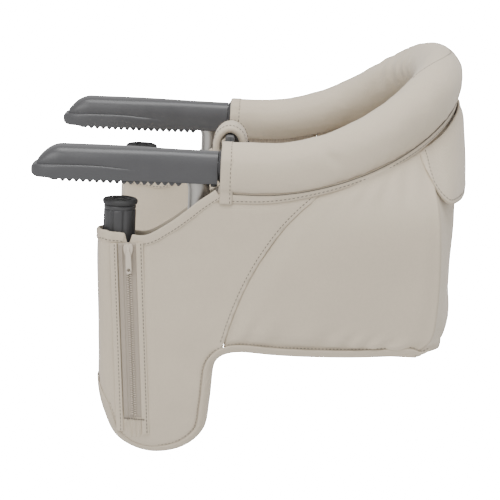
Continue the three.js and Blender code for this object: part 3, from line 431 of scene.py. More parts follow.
@dataclass(frozen=True)
class Finish:
    """A finish: its material slot, which nothing here uses, its colour and how rough it is."""

    name: str
    slot: str
    colour: Colour
    roughness: float

    def material(self) -> bpy.types.Material:
        """The finish's material, made at its first use."""
        known = bpy.data.materials.get(self.name)
        if known:
            return known
        sheet = NodeSheet(self.name)
        self.dress(sheet)
        return sheet.material

    def dress(self, sheet: NodeSheet) -> None:
        """Lays out the nodes of the finish."""
        raise NotImplementedError


@dataclass(frozen=True)
class WovenCloth(Finish):
    """Plain-woven cloth with a soft sheen, uneven yarn and faint wear."""

    thread: float = 0.0009
    sheen: float = 0.25

    def dress(self, sheet: NodeSheet) -> None:
        """Weave in two directions, slubs in the yarn and slow changes of tone."""
        warp = sheet.threads((1.0, 1.0, 0.0), self.thread)
        weft = sheet.threads((0.6, -0.6, 1.0), self.thread)
        weave = sheet.math("MULTIPLY", warp, weft)
        slub = sheet.grain(420, 4)
        tone = sheet.grain(9, 3)
        mixed = sheet.math("MULTIPLY_ADD", slub, 0.45, sheet.math("MULTIPLY", tone, 0.4))
        share = sheet.math("MULTIPLY_ADD", weave, 0.25, mixed)
        sheet.link(sheet.tint(share, shade(self.colour, 0.9), shade(self.colour, 1.1)), "Base Color")
        sheet.link(sheet.ranged(slub, self.roughness - 0.08, self.roughness + 0.06), "Roughness")
        sheet.set("Sheen Weight", self.sheen)
        sheet.set("Sheen Roughness", 0.45)
        sheet.set("Specular IOR Level", 0.25)
        sheet.relief(sheet.math("MULTIPLY_ADD", slub, 0.5, weave), 0.35, 0.0004)


@dataclass(frozen=True)
class RibbedLining(Finish):
    """Lining cloth with fine ribs down it."""

    def dress(self, sheet: NodeSheet) -> None:
        """Ribs, yarn noise and tone."""
        rib = sheet.threads((1.0, 1.0, 0.0), 0.003)
        yarn = sheet.grain(380, 4)
        share = sheet.math("MULTIPLY_ADD", rib, 0.45, sheet.math("MULTIPLY", yarn, 0.55))
        sheet.link(sheet.tint(share, shade(self.colour, 0.86), shade(self.colour, 1.1)), "Base Color")
        sheet.set("Roughness", self.roughness)
        sheet.set("Sheen Weight", 0.2)
        sheet.relief(sheet.math("MULTIPLY_ADD", yarn, 0.4, rib), 0.5, 0.0006)


@dataclass(frozen=True)
class MouldedPlastic(Finish):
    """Moulded plastic with a fine eroded grain and scuffs."""

    grain: float = 1600.0

    def dress(self, sheet: NodeSheet) -> None:
        """Grain in the bump, scuffs in the roughness and the colour."""
        grain = sheet.grain(self.grain, 2)
        scuff = sheet.grain(55, 5)
        sheet.link(sheet.tint(scuff, shade(self.colour, 0.92), shade(self.colour, 1.09)), "Base Color")
        sheet.link(sheet.ranged(scuff, self.roughness - 0.07, self.roughness + 0.07), "Roughness")
        sheet.relief(grain, 0.12, 0.0003)


@dataclass(frozen=True)
class BrushedMetal(Finish):
    """Drawn or turned metal with fine lines along it."""

    lines: Triple = (1.0, 1.0, 0.05)

    def dress(self, sheet: NodeSheet) -> None:
        """Streaks in the colour, the roughness and the bump."""
        streak = sheet.grain(1400, 2, self.lines)
        cloud = sheet.grain(40, 3)
        sheet.link(sheet.tint(streak, shade(self.colour, 0.88), shade(self.colour, 1.06)), "Base Color")
        sheet.link(sheet.ranged(cloud, self.roughness - 0.06, self.roughness + 0.08), "Roughness")
        sheet.set("Metallic", 1.0)
        sheet.relief(streak, 0.1, 0.0002)


@dataclass(frozen=True)
class WebbingWeave(Finish):
    """Tightly woven belt webbing with a herringbone."""

    def dress(self, sheet: NodeSheet) -> None:
        """Two sets of slanted threads and dust."""
        first = sheet.threads((1.0, 0.4, 1.0), 0.0016)
        second = sheet.threads((1.0, 0.4, -1.0), 0.0016)
        dust = sheet.grain(300, 3)
        weave = sheet.math("MULTIPLY", first, second)
        share = sheet.math("MULTIPLY_ADD", weave, 0.5, sheet.math("MULTIPLY", dust, 0.5))
        sheet.link(sheet.tint(share, shade(self.colour, 0.8), shade(self.colour, 1.2)), "Base Color")
        sheet.set("Roughness", self.roughness)
        sheet.relief(weave, 0.5, 0.0005)


@dataclass(frozen=True)
class StudioPaper(Finish):
    """Pale floor of the studio, with a glowing sweep of painted light behind the chair."""

    glow: float = 26.0

    def dress(self, sheet: NodeSheet) -> None:
        """A faint tone over a matt surface, a faint even glow, and the strong glow of the sweep that widens
        as it goes back: painted light that whitens the backdrop and lights the chair from behind.
        """
        tone = sheet.grain(3, 2)
        sheet.link(sheet.tint(tone, shade(self.colour, 0.985), self.colour), "Base Color")
        sheet.set("Roughness", self.roughness)
        # Painted light: the floor emits light itself, strongest in the sweep far behind the chair.
        sheet.set("Emission Color", (1.0, 1.0, 1.0, 1.0))
        spot = sheet.add("ShaderNodeSeparateXYZ", Vector=sheet.coords)
        width = sheet.math("MULTIPLY_ADD", spot.outputs["Y"], 0.115, 0.5)
        aside = sheet.math("DIVIDE", sheet.math("ABSOLUTE", spot.outputs["X"]), width)
        beam = sheet.add("ShaderNodeMapRange", Value=aside, From_Min=1.0, From_Max=1.3,
                         To_Min=self.glow, To_Max=0.0)
        behind = sheet.add("ShaderNodeMapRange", Value=spot.outputs["Y"], From_Min=5.0, From_Max=6.5)
        for fade in (beam, behind):
            fade.interpolation_type = "SMOOTHSTEP"
        sheet.link(sheet.math("MULTIPLY_ADD", beam.outputs[0], behind.outputs[0], 0.5), "Emission Strength")


CLOTH = WovenCloth("greige_cloth", "fabric", (0.575, 0.497, 0.385), 0.82)
CLOTH_BOUND = WovenCloth("greige_binding", "fabric", (0.55, 0.475, 0.368), 0.84)
# Thread for all stitches and for the rim's seam line, darker than the real thread: partly painted shade for
# the stitch holes and the seam's shadow.
THREAD_AND_SHADE = WovenCloth("greige_thread_and_shade", "fabric", (0.15, 0.13, 0.105), 0.7, thread=0.0004, sheen=0.1)
LINING = RibbedLining("ribbed_lining", "lining", (0.52, 0.455, 0.375), 0.86)
ARM_GREY = MouldedPlastic("arm_grey_plastic", "arm_plastic", (0.064, 0.064, 0.067), 0.36)
CLAMP_CHARCOAL = MouldedPlastic("clamp_charcoal_plastic", "clamp_plastic", (0.042, 0.042, 0.044), 0.45)
RUBBER = MouldedPlastic("grip_rubber", "rubber", (0.03, 0.03, 0.031), 0.62, grain=900.0)
GRIP_GREY = MouldedPlastic("grip_pad_grey", "rubber", (0.062, 0.062, 0.064), 0.6, grain=900.0)
ALUMINIUM = BrushedMetal("drawn_aluminium", "aluminium", (0.46, 0.445, 0.42), 0.38)
STEEL = BrushedMetal("turned_steel", "steel", (0.56, 0.57, 0.58), 0.3, lines=(0.1, 1.0, 1.0))
ZIP_TINT = MouldedPlastic("zip_greige_plastic", "zip_plastic", (0.56, 0.49, 0.4), 0.42)
ZIP_TAPE = WovenCloth("zip_tape_cloth", "zip_plastic", (0.4, 0.345, 0.28), 0.8, thread=0.0007)
BUCKLE_GREY = MouldedPlastic("buckle_grey_plastic", "buckle_plastic", (0.1, 0.102, 0.105), 0.38)
WEBBING = WebbingWeave("belt_webbing", "webbing", (0.05, 0.05, 0.052), 0.75)
FLOOR = StudioPaper("studio_paper", "fabric", (0.93, 0.93, 0.93), 0.9)


def make_piece(name: str, shape: Shape, finish: Finish, sharp: float = 40.0) -> Piece:
    """Turns a shape in millimetres into a dressed piece in metres.

    Args:
        name: The piece's name.
        shape: Its shape, which is used up.
        finish: Its finish.
        sharp: Angle in degrees above which an edge stays sharp.

    Returns:
        The piece, at the origin.
    """
    bmesh.ops.scale(shape, vec=(MM, MM, MM), verts=shape.verts)
    for face in shape.faces:
        face.smooth = True
    mesh = bpy.data.meshes.new(name)
    shape.to_mesh(mesh)
    shape.free()
    mesh.set_sharp_from_angle(angle=math.radians(sharp))
    piece = bpy.data.objects.new(name, mesh)
    bpy.context.scene.collection.objects.link(piece)
    mesh.materials.append(finish.material())
    LOG.info("piece %s: %d faces", name, len(mesh.polygons))
    return piece


def make_pair(stem: str, shape: Shape, finish: Finish, sharp: float = 40.0) -> dict[Side, Piece]:
    """The left piece from a shape and the right one from its mirror image."""
    twin = shape.copy()
    bmesh.ops.scale(twin, vec=(1, -1, 1), verts=twin.verts)
    bmesh.ops.reverse_faces(twin, faces=twin.faces)
    return {
        Side.LEFT: make_piece(Side.LEFT.of(stem), shape, finish, sharp),
        Side.RIGHT: make_piece(Side.RIGHT.of(stem), twin, finish, sharp),
    }


def thicken(piece: Piece, thickness: float, inner: Finish | None = None) -> None:
    """Gives a sheet its thickness in millimetres, behind its face."""
    wall = piece.modifiers.new("thickness", "SOLIDIFY")
    wall.thickness = thickness * MM
    wall.offset = -1.0
    if inner:
        piece.data.materials.append(inner.material())
        wall.material_offset = 1


def round_edges(piece: Piece, width: float, segments: int = 3) -> None:
    """Rounds the sharp edges of a hard piece by a width in millimetres."""
    bevel = piece.modifiers.new("rounded", "BEVEL")
    bevel.width = width * MM
    bevel.segments = segments
    bevel.limit_method = "ANGLE"
    bevel.angle_limit = math.radians(35)
    bevel.harden_normals = False


def subdivide(piece: Piece, levels: int = 1) -> None:
    """Smooths a piece by subdivision."""
    smooth = piece.modifiers.new("smoothed", "SUBSURF")
    smooth.levels = levels
    smooth.render_levels = levels


def baked(piece: Piece) -> bpy.types.Mesh:
    """Mesh of a piece with its modifiers applied."""
    graph = bpy.context.evaluated_depsgraph_get()
    graph.update()
    return bpy.data.meshes.new_from_object(piece.evaluated_get(graph))


def swap_mesh(piece: Piece, mesh: bpy.types.Mesh) -> None:
    """Gives a piece a new mesh and takes its modifiers away."""
    old = piece.data
    piece.modifiers.clear()
    piece.data = mesh
    bpy.data.meshes.remove(old)
    for face in mesh.polygons:
        face.use_smooth = True


def surface_of(piece: Piece) -> BVHTree:
    """Search tree of a piece's surface, in metres."""
    return BVHTree.FromObject(piece, bpy.context.evaluated_depsgraph_get())


@dataclass(frozen=True)
class Stuffing:
    """How a padded piece is filled by cloth simulation."""

    voxel: float = 5.0
    pressure: float = 4.0
    cap: float = 5.0
    frames: int = 20
    quality: int = 6
    mass: float = 0.3

    def fill(self, piece: Piece) -> None:
        """Remeshes a closed piece, swells it as cloth and caps how far each point goes."""
        remesh = piece.modifiers.new("even", "REMESH")
        remesh.mode = "VOXEL"
        remesh.voxel_size = self.voxel * MM
        swap_mesh(piece, baked(piece))
        self.swell(piece)
        subdivide(piece)

    def swell(self, piece: Piece) -> None:
        """Runs the simulation and keeps its result."""
        scene = bpy.context.scene
        start = [vert.co.copy() for vert in piece.data.vertices]
        cloth = piece.modifiers.new("cloth", "CLOTH")
        cloth.settings.quality = self.quality
        cloth.settings.mass = self.mass
        cloth.settings.use_pressure = True
        cloth.settings.uniform_pressure_force = self.pressure
        cloth.settings.effector_weights.gravity = 0.0
        cloth.point_cache.frame_start = 1
        cloth.point_cache.frame_end = self.frames
        for number in range(1, self.frames + 1):
            scene.frame_set(number)
        mesh = baked(piece)
        for vert, before in zip(mesh.vertices, start):
            step = vert.co - before
            if step.length > self.cap * MM:
                vert.co = before + step.normalized() * self.cap * MM
        swap_mesh(piece, mesh)
        scene.frame_set(1)


@dataclass(frozen=True)
class FoldField:
    """Where the cloth would turn between the seat and a folding arm, across a slanted stretch of the seat."""

    start_x: float = 190.0
    start_y: float = 165.0
    run_x: float = -0.809
    run_y: float = 0.588
    reach: float = 128.0

    def blend(self, piece: Piece) -> None:
        """Bakes a piece's placement into its mesh."""
        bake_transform(piece)


FOLD = FoldField()


@dataclass(frozen=True)
class SeatShape:
    """Lines and surfaces that the sewn pieces share, in millimetres, on the left side."""

    arm_y: float = -155.0
    axis_level: float = 18.5
    rim_front: float = 22.5
    straight_end: float = 100.0
    straight_share: float = 0.14
    back_reach: float = 225.0
    rise: float = 80.0
    rise_start: float = 50.0
    rise_power: float = 2.0
    squareness: float = 2.4
    roll_half_width: float = 23.8
    roll_half_height: float = 21.3
    roll_drop: float = 1.9
    roll_growth: float = 1.05
    strip_out: float = 18.5
    strip_depth: float = 4.5
    sew_gap: float = 0.5
    face: float = -174.0
    seat_depth: float = 146.0
    seam_top: float = 112.0
    seam_foot: float = 29.5
    rear_seam: float = 226.5
    rear_seam_top: float = 209.0
    tub_corner: float = 17.0
    back_inset: float = 6.5
    back_bow: float = 16.0
    back_draw: float = 8.0

    def rim_place(self, share: float) -> Vector:
        """Place on the rim's tube line, from the left end at 0 to the right end at 1."""
        side = -1.0 if share < 0.5 else 1.0
        along = min(share, 1.0 - share)
        place = Vector((self.straight_end, -side * self.arm_y, 0.0))
        if along < self.straight_share:
            place.x = lerp(self.rim_front, self.straight_end, along / self.straight_share)
        else:
            a = (along - self.straight_share) / (0.5 - self.straight_share) * math.pi / 2
            place.x += (self.back_reach - self.straight_end) * power(math.sin(a), 2 / self.squareness)
            place.y = -side * self.arm_y * power(max(0.0, math.cos(a)), 2 / self.squareness)
        climb = max(0.0, place.x - self.rise_start) / (self.back_reach - self.rise_start)
        place.z = self.axis_level + self.rise * climb ** self.rise_power
        return place

    def straight_at(self, x: float) -> float:
        """Share of the rim at a reach on its straight stretch."""
        return self.straight_share * (x - self.rim_front) / (self.straight_end - self.rim_front)

    def rim_frame(self, share: float) -> tuple[Vector, Vector, Vector]:
        """Directions at a place on the rim: along it, outwards and up."""
        reach = 0.004
        before = self.rim_place(max(0.0, share - reach))
        along = (self.rim_place(min(1.0, share + reach)) - before).normalized()
        outwards = Vector((along.y, -along.x, 0.0)).normalized()
        return along, outwards, outwards.cross(along)

    def growth(self, share: float) -> float:
        """How much thicker the roll is at a place on the rim."""
        climb = (self.rim_place(share).x - self.rim_front) / (self.back_reach - self.rim_front)
        return lerp(1.0, self.roll_growth, climb)

    def beside_rim(self, share: float, outwards: float, up: float) -> Vector:
        """Place beside the rim line, some way outwards and up."""
        frame_at = self.rim_frame(share)
        return self.rim_place(share) + frame_at[1] * outwards + frame_at[2] * up

    def strip_foot(self, share: float, below: float = 0.0) -> Vector:
        """Lower edge of the binding, from where the panels hang."""
        down = self.roll_drop + self.roll_half_height * self.growth(share) + self.strip_depth + below
        return self.beside_rim(share, self.strip_out, -down)

    def share_at(self, reach: float) -> float:
        """Share along the left half of the rim where the binding's foot has a reach along X."""
        low, high = 0.0, 0.5
        for _ in range(40):
            middle = (low + high) / 2
            if self.strip_foot(middle).x < reach:
                low = middle
            else:
                high = middle
        return low

    @cached_property
    def seam_share(self) -> float:
        """Share of the rim at the top of the curved seam."""
        return self.share_at(self.seam_top)

    @cached_property
    def corner_share(self) -> float:
        """Share of the rim at the top of the rear seam."""
        return self.share_at(self.rear_seam_top)

    @cached_property
    def seam_points(self) -> list[Vector]:
        """Points of the curved seam, as reach and level."""
        top = self.strip_foot(self.seam_share, self.sew_gap).z
        drops = ((self.seam_top, 0.0), (94, 0.12), (77, 0.26), (60, 0.446), (47, 0.63), (36.5, 0.83),
                 (self.seam_foot, 1.0))
        return [Vector((x, lerp(top, -self.seat_depth, drop))) for x, drop in drops]

    def curved_seam(self, v: float) -> Vector:
        """Place on the curved seam, from its top at 0 to its foot at 1."""
        p = on_spline(self.seam_points, v)
        return Vector((p.x, self.face, p.y))

    @cached_property
    def corner_points(self) -> list[Vector]:
        """Points of the rear seam, from the binding down to the seat base."""
        deep = -self.seat_depth
        return [
            self.strip_foot(self.corner_share, self.sew_gap),
            Vector((self.rear_seam - 3, self.face + 3, -self.tub_corner)),
            Vector((self.rear_seam, self.face, deep + 2.3 * self.tub_corner)),
            Vector((self.rear_seam - 0.25 * self.tub_corner, self.face, deep + 0.7 * self.tub_corner)),
            Vector((self.rear_seam - self.tub_corner, self.face, deep)),
        ]

    def rear_corner(self, v: float) -> Vector:
        """Place on the rear seam, from its top at 0 to its foot at 1."""
        return on_spline(self.corner_points, v)

    def side_top(self, u: float) -> Vector:
        """Top edge of the side panel, from the curved seam to the rear seam."""
        p = self.strip_foot(lerp(self.seam_share, self.corner_share, u), self.sew_gap)
        p.y = lerp(p.y, self.face, (1 - u) ** 2)
        return p

    def side_bottom(self, u: float) -> Vector:
        """Bottom edge of the side panel."""
        reach = lerp(self.seam_foot, self.rear_seam - self.tub_corner, u)
        return Vector((reach, self.face, -self.seat_depth))

    def side_surface(self, u: float, v: float) -> Vector:
        """Place on the side panel."""
        return stretched(u, v, self.side_top, self.side_bottom, self.curved_seam, self.rear_corner)

    def back_edge(self, v: float) -> Vector:
        """Left edge of the back panel."""
        return self.rear_corner(v) + Vector((0, self.back_inset, 0))

    def back_edge_right(self, v: float) -> Vector:
        """Right edge of the back panel."""
        p = self.back_edge(v)
        p.y = -p.y
        return p

    def back_top(self, u: float) -> Vector:
        """Top edge of the back panel, below the binding."""
        p = self.strip_foot(lerp(self.corner_share, 1 - self.corner_share, u), self.sew_gap)
        p.y += self.back_inset * (1 - 2 * u)
        return p

    def bow(self, u: float) -> float:
        """How far the seat's rear edge bows out."""
        return self.back_bow * (1 - (2 * u - 1) ** 4)

    def back_bottom(self, u: float) -> Vector:
        """Bottom edge of the back panel."""
        half = -self.face - self.back_inset
        reach = self.rear_seam - self.tub_corner + self.bow(u)
        return Vector((reach, lerp(-half, half, u), -self.seat_depth))

    def back_surface(self, u: float, v: float) -> Vector:
        """Place on the back panel."""
        p = stretched(u, v, self.back_top, self.back_bottom, self.back_edge, self.back_edge_right)
        p.x -= self.back_draw * (1 - (2 * u - 1) ** 2) * math.sin(math.pi * v ** 0.7)
        return p


Edge = Callable[[float], Vector]


def stretched(u: float, v: float, top: Edge, bottom: Edge, front: Edge, rear: Edge) -> Vector:
    """Place on a surface stretched between four edges."""
    across = top(u).lerp(bottom(u), v) + front(v).lerp(rear(v), u)
    return across - top(0).lerp(top(1), u).lerp(bottom(0).lerp(bottom(1), u), v)


SEAT = SeatShape()


@dataclass(frozen=True)
class PaddedRim:
    """The stuffed roll round the rim tube, its binding and its end hems."""

    rows: int = 150
    columns: int = 44
    slim: float = 0.96
    lopsided: float = 4.4
    hump: float = 5.2
    sag: float = 0.1
    band_front: float = 8.4
    band_back: float = 5.4
    band_drop: float = 3.4
    hem_start: float = 19.6
    hem_end: float = 31.8
    hump_share: float = 0.655
    hump_width: float = 0.13
    corner_out: float = 0.3
    corner_up: float = 0.6
    dimple_x: float = 121.0
    dimple_z: float = 35.0
    dimple_depth: float = 3.2

    def section(self, share: float, angle: float) -> Vector:
        """Place on the roll's surface."""
        grown = SEAT.growth(share) * self.slim
        across, rise = math.cos(angle), math.sin(angle)
        lower_outer = across > 0 and rise < 0
        out = SEAT.roll_half_width * grown * power(across, self.corner_out if lower_outer else 1.0)
        up = SEAT.roll_half_height * grown * power(rise, self.corner_up if lower_outer else 1.0)
        if lower_outer:
            up *= 1 + self.sag * min(1.0, across / 0.4)
        lean = self.lopsided * max(0.0, math.cos(math.pi * share))
        lean += self.hump * bump(share - self.hump_share, self.hump_width)
        lean *= max(0.0, rise)
        return SEAT.beside_rim(share, out, up - SEAT.roll_drop + lean)

    def roll(self) -> Piece:
        """The stuffed roll."""
        def place(i: int, j: int) -> Vector:
            """Point of the roll's net."""
            return self.section(j / self.rows, 2 * math.pi * i / self.columns)

        piece = make_piece("rim_roll", tube_shape(self.columns, self.rows, place), CLOTH)
        Stuffing(voxel=4.5, cap=3.0).fill(piece)
        self.wrinkle(piece)
        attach(piece, "seat")
        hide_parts("rim_pad")
        return piece

    def wrinkle(self, roll: Piece) -> None:
        """Soft dents of the stuffed cloth, a slanted dimple on the left side and gathers inside the back."""
        mesh = roll.data
        normals = [vert.normal.copy() for vert in mesh.vertices]
        for vert, normal in zip(mesh.vertices, normals):
            spot = vert.co / MM
            dent = 0.7 * noise.noise(spot / 27) + 0.35 * noise.noise(spot / 11)
            aside, above = spot.x - self.dimple_x, spot.z - self.dimple_z
            slant = aside * 0.77 + above * 0.64
            along = above * 0.77 - aside * 0.64
            if spot.y < SEAT.arm_y:
                dent -= self.dimple_depth * bump(slant, 3.6) * bump(along, 9.0)
            inside = ease((205 - spot.x) / 10) * ease((spot.x - 150) / 30) * max(0.0, -normal.x)
            dent += 1.1 * inside * math.sin(spot.y / 3.1 + 2 * math.sin(spot.z / 9))
            vert.co += normal * dent * MM

    def band_size(self, share: float) -> tuple[float, float]:
        """Height of the binding above its seam line and its drop below it."""
        front = 1 - ease((SEAT.strip_foot(share).x - 30) / 90)
        return lerp(self.band_back, self.band_front, front) - self.band_drop * front, self.band_drop * front

    def binding(self) -> None:
        """Flat binding below the roll, with a dark line of painted shade in the seam above it, and its row of
        stitches.
        """
        shares = [j / 180 for j in range(181)]
        path = [SEAT.strip_foot(s) for s in shares]
        outs = [SEAT.rim_frame(s)[1] for s in shares]
        sizes = [self.band_size(s) for s in shares]

        def band(j: int) -> Profile:
            """Section of the binding, with a tongue that goes in under the roll."""
            high, drop = sizes[j]
            return [(-high - 5, -3.5), (-high, 0.3), (0.5 - high, 1.1), (drop - 1.0, 0.9), (drop, 0.2),
                    (drop, -1.4), (drop - 1.0, -2.0), (0.5 - high, -2.4), (-high - 5, -6.0)]

        strip = make_piece("rim_binding", sweep_shape(path, outs, band), CLOTH_BOUND, sharp=60)
        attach(strip, "seat")

        def seam_shade_section(j: int) -> Profile:
            """Section of the thin dark tube along the seam: painted shade for the seam's shadow line."""
            return [(-sizes[j][0] - 0.35 + 0.4 * math.cos(a), 0.55 + 0.4 * math.sin(a)) for a in angles(6)]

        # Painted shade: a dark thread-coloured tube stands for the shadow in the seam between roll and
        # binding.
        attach(make_piece("rim_seam_shade_line", sweep_shape(path, outs, seam_shade_section), THREAD_AND_SHADE), "seat")
        row = [SEAT.strip_foot(s, sizes[j][1] - 2.3) + outs[j] * 1.0 for j, s in enumerate(shares)]
        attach(make_piece("rim_binding_stitches", StitchGauge().sewn(row, outs), THREAD_AND_SHADE), "seat")

    def end_hem(self, surface: BVHTree, side: Side) -> None:
        """Folded hem round one end of the roll, down over the binding as a short tab."""
        middle = (self.hem_start + self.hem_end) / 2
        share = SEAT.straight_at(middle)
        end = share if side is Side.LEFT else 1 - share
        out = SEAT.rim_frame(end)[1]
        spots = [SEAT.strip_foot(end, self.band_drop + 0.8 - 1.8 * k) + out * 1.5 for k in range(5)]
        outs = [out] * len(spots)
        for k in range(71):
            spot = self.section(end, math.radians(lerp(-44, 250, k / 70)))
            hit, normal, _, _ = surface.find_nearest(spot * MM)
            spots.append(hit / MM)
            outs.append(normal)
        columns = 8

        def place(i: int, j: int) -> Vector:
            """Point of the hem, a little proud between its edges."""
            across = i / columns
            proud = 0.9 - 1.1 * abs(2 * across - 1) ** 8
            x = lerp(self.hem_start, self.hem_end, across)
            return Vector((x, spots[j].y, spots[j].z)) + outs[j] * proud

        shape = grid_shape(columns, len(spots) - 1, place)
        centre = Vector((middle, side.sign * -SEAT.arm_y, SEAT.axis_level))
        face_out(shape, lambda face: face.normal.dot(face.calc_center_median() - centre))
        piece = make_piece(side.of("rim_end_hem"), shape, CLOTH_BOUND, 60)
        thicken(piece, 1.0)
        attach(piece, "seat")
        row = [Vector((self.hem_end - 2.6, p.y, p.z)) + o * 0.85 for p, o in zip(spots, outs)]
        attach(make_piece(side.of("rim_end_stitches"), StitchGauge().sewn(row, outs), THREAD_AND_SHADE), "seat")

    def back_seam(self, surface: BVHTree) -> None:
        """Stitched arc where the inner cloth comes over the back of the roll."""
        path = []
        outs = []
        for k in range(81):
            share = lerp(0.37, 0.63, k / 80)
            angle = 62 + 52 * (abs(share - 0.5) / 0.12) ** 1.4
            hit, normal, _, _ = surface.find_nearest(self.section(share, math.radians(angle)) * MM)
            path.append(hit / MM)
            outs.append(normal)
        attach(make_piece("rim_back_stitches", StitchGauge().sewn(path, outs), THREAD_AND_SHADE), "seat")

    def build(self) -> None:
        """Makes the whole rim."""
        surface = surface_of(self.roll())
        self.binding()
        for side in Side:
            self.end_hem(surface, side)
        self.back_seam(surface)


@dataclass(frozen=True)
class Sleeve:
    """Cloth pouch round the hook tube with its rear flap, gusset, mouth hem and zip placket."""

    front: float = -93.0
    rear: float = 20.0
    half_thickness: float = 19.0
    rounding: float = 11.0
    cell: float = 4.0
    gusset: float = 8.0
    lobe_x: float = -36.5
    lobe_z: float = -191.5
    lobe_radius: float = 46.5
    zip_top: tuple[float, float] = (-63.0, -54.0)
    zip_lean: float = math.radians(3.9)
    zip_length: float = 173.0
    inner_rise: float = -3.0

    @cached_property
    def mouth(self) -> list[Vector]:
        """Line of the mouth, from the front to the rear."""
        spots = ((-93, -43.5), (-66, -46), (-48, -47), (-29, -36.5), (-10, -21.7), (0, -13), (16, -1.3))
        points = [Vector(p) for p in spots]
        return smooth_line(points, 90, 2.0)

    @cached_property
    def silhouette(self) -> list[Vector]:
        """Edge of the pouch down the front, round its lobe and along the seat's bottom to the rear seam."""
        points = [Vector((-93, -44)), Vector((-93, -70)), Vector((-91.6, -100)), Vector((-90, -130)),
                  Vector((-88.8, -160))]
        margins = ((184, 4.2), (212, 5.5), (239, 13.6), (268, 17.8), (297, 19.8), (320, 18), (344, 9.5))
        for degrees, margin in margins:
            a = math.radians(degrees)
            reach = self.lobe_radius + margin
            points.append(Vector((self.lobe_x + reach * math.cos(a), self.lobe_z + reach * math.sin(a))))
        tail = ((19, -182), (19.8, -173), (22, -166), (27, -160.6), (34, -157.5), (45, -155.8), (75, -157),
                (101, -157.3), (150, -155.8), (195, -152), (214, -149.5), (224, -143))
        points += [Vector(p) for p in tail]
        return smooth_line(points, 400, 3.0)

    @cached_property
    def lobe(self) -> list[Vector]:
        """The part of the edge where the two faces meet."""
        return [p for p in self.silhouette if p.x < 25]

    def zip_spot(self, across: float, down: float) -> Vector:
        """Flat place beside the zip's line."""
        lean = self.zip_lean
        return Vector((
            self.zip_top[0] + across * math.cos(lean) + down * math.sin(lean),
            self.zip_top[1] + across * math.sin(lean) - down * math.cos(lean),
        ))

    def beside_zip(self, spot: Vector) -> tuple[float, float]:
        """How far a flat place is across from the zip's line and down along it."""
        way = spot - Vector(self.zip_top)
        lean = self.zip_lean
        across = way.x * math.cos(lean) + way.y * math.sin(lean)
        return across, way.x * math.sin(lean) - way.y * math.cos(lean)

    def rounded_off(self, edge: float) -> float:
        """How far a face falls away near its edge, from 1 at the edge to 0 inside."""
        into = 1 - min(1.0, edge / self.rounding)
        return 1 - math.sqrt(max(0.0, 1 - into * into))

    def outer_level(self, spot: Vector) -> float:
        """Level along Y of the outer face."""
        edge = distance_to(self.lobe, spot)
        drop = self.half_thickness * self.rounded_off(edge)
        strip = SEAT.strip_foot(min(SEAT.seam_share, max(0.0, SEAT.straight_at(spot.x)))).z
        tuck = 2.6 * (1 - ease((strip - spot.y) / 9)) * ease((spot.x - 14) / 8)
        swell = 1.6 * ease(edge / 40) * ease((-spot.y - 50) / 50) * ease((30 - spot.x) / 50)
        slack = 0.9 * noise.noise(Vector((spot.x, spot.y, 5.0)) / 37)
        slack += 0.35 * noise.noise(Vector((spot.x, spot.y, 0.0)) / 14)
        across, down = self.beside_zip(spot)
        zipped = ease((15 - abs(across)) / 5) * ease((self.zip_length - 2 - down) / 8)
        soft = (slack * ease(edge / 16) * (1 - ease(tuck)) - swell) * (1 - zipped)
        return SEAT.face - 0.6 + drop + tuck + soft + 1.2 * zipped

    def inner_level(self, spot: Vector) -> float:
        """Level along Y of the inner face."""
        edge = min(distance_to(self.lobe, spot), max(0.0, self.rear - spot.x))
        behind = ease((spot.y + 175) / 20) * ease(spot.x / 18)
        deep = lerp(self.half_thickness, 2 * self.half_thickness - 3, behind)
        drop = deep * self.rounded_off(edge)
        slack = 0.9 * noise.noise(Vector((spot.x, spot.y, 9.0)) / 33)
        return SEAT.face + 2 * self.half_thickness + 0.4 - drop + slack * ease(edge / 16)

    def notched(self, line: Line) -> list[Vector]:
        """Mouth line with the small gap above the zip."""
        gap = 3.4
        out = []
        done = False
        for p in line:
            if abs(p.x - self.zip_top[0]) > gap:
                out.append(p)
            elif not done:
                done = True
                low = p.y - 8
                out += [Vector((self.zip_top[0] - gap, p.y)), Vector((self.zip_top[0] - 1.2, low)),
                        Vector((self.zip_top[0] + 1.2, low)), Vector((self.zip_top[0] + gap, p.y - 0.6))]
        return out

    def outer_face(self) -> None:
        """Outer cloth, from the front edge to the curved seam."""
        down = [p for p in self.silhouette if p.x < 26]
        seam = [SEAT.curved_seam(1 - k / 40) for k in range(41)]
        under = [SEAT.strip_foot(lerp(SEAT.seam_share, 0.0, k / 20), -5) for k in range(1, 21)]
        outline = [*down, Vector((29.0, -151.0))]
        outline += [Vector((p.x, p.z)) for p in (*seam, *under)]
        outline += [Vector((19.0, -5.0)), *reversed(self.notched(self.mouth))]
        shape = cut_cloth(outline, self.cell)
        for vert in shape.verts:
            vert.co.y = self.outer_level(Vector((vert.co.x, vert.co.z)))
        face_out(shape, lambda face: -face.normal.y * face.calc_area())
        area = area_of(shape)
        for side, piece in make_pair("sleeve_outer_cloth", shape, CLOTH, 80).items():
            thicken(piece, 1.2, LINING)
            FOLD.blend(piece)
            side.of("hook_tube")

    def inner_face(self) -> None:
        """Inner cloth, from the front edge to the rear of the hook."""
        down = [p for p in self.silhouette if p.x < 19.6 and p.y < -40]
        mouth = [Vector((p.x, p.y + self.inner_rise)) for p in self.mouth]
        outline = [*down, Vector((20.0, -160.0)), Vector((20.0, 2.0)), *reversed(mouth)]
        shape = cut_cloth(outline, self.cell)
        for vert in shape.verts:
            vert.co.y = self.inner_level(Vector((vert.co.x, vert.co.z)))
        face_out(shape, lambda face: face.normal.y * face.calc_area())
        area = area_of(shape)
        for side, piece in make_pair("sleeve_inner_cloth", shape, CLOTH, 80).items():
            thicken(piece, 1.2, LINING)
            FOLD.blend(piece)
            side.of("hook_tube")
            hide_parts(side.of("sleeve"))

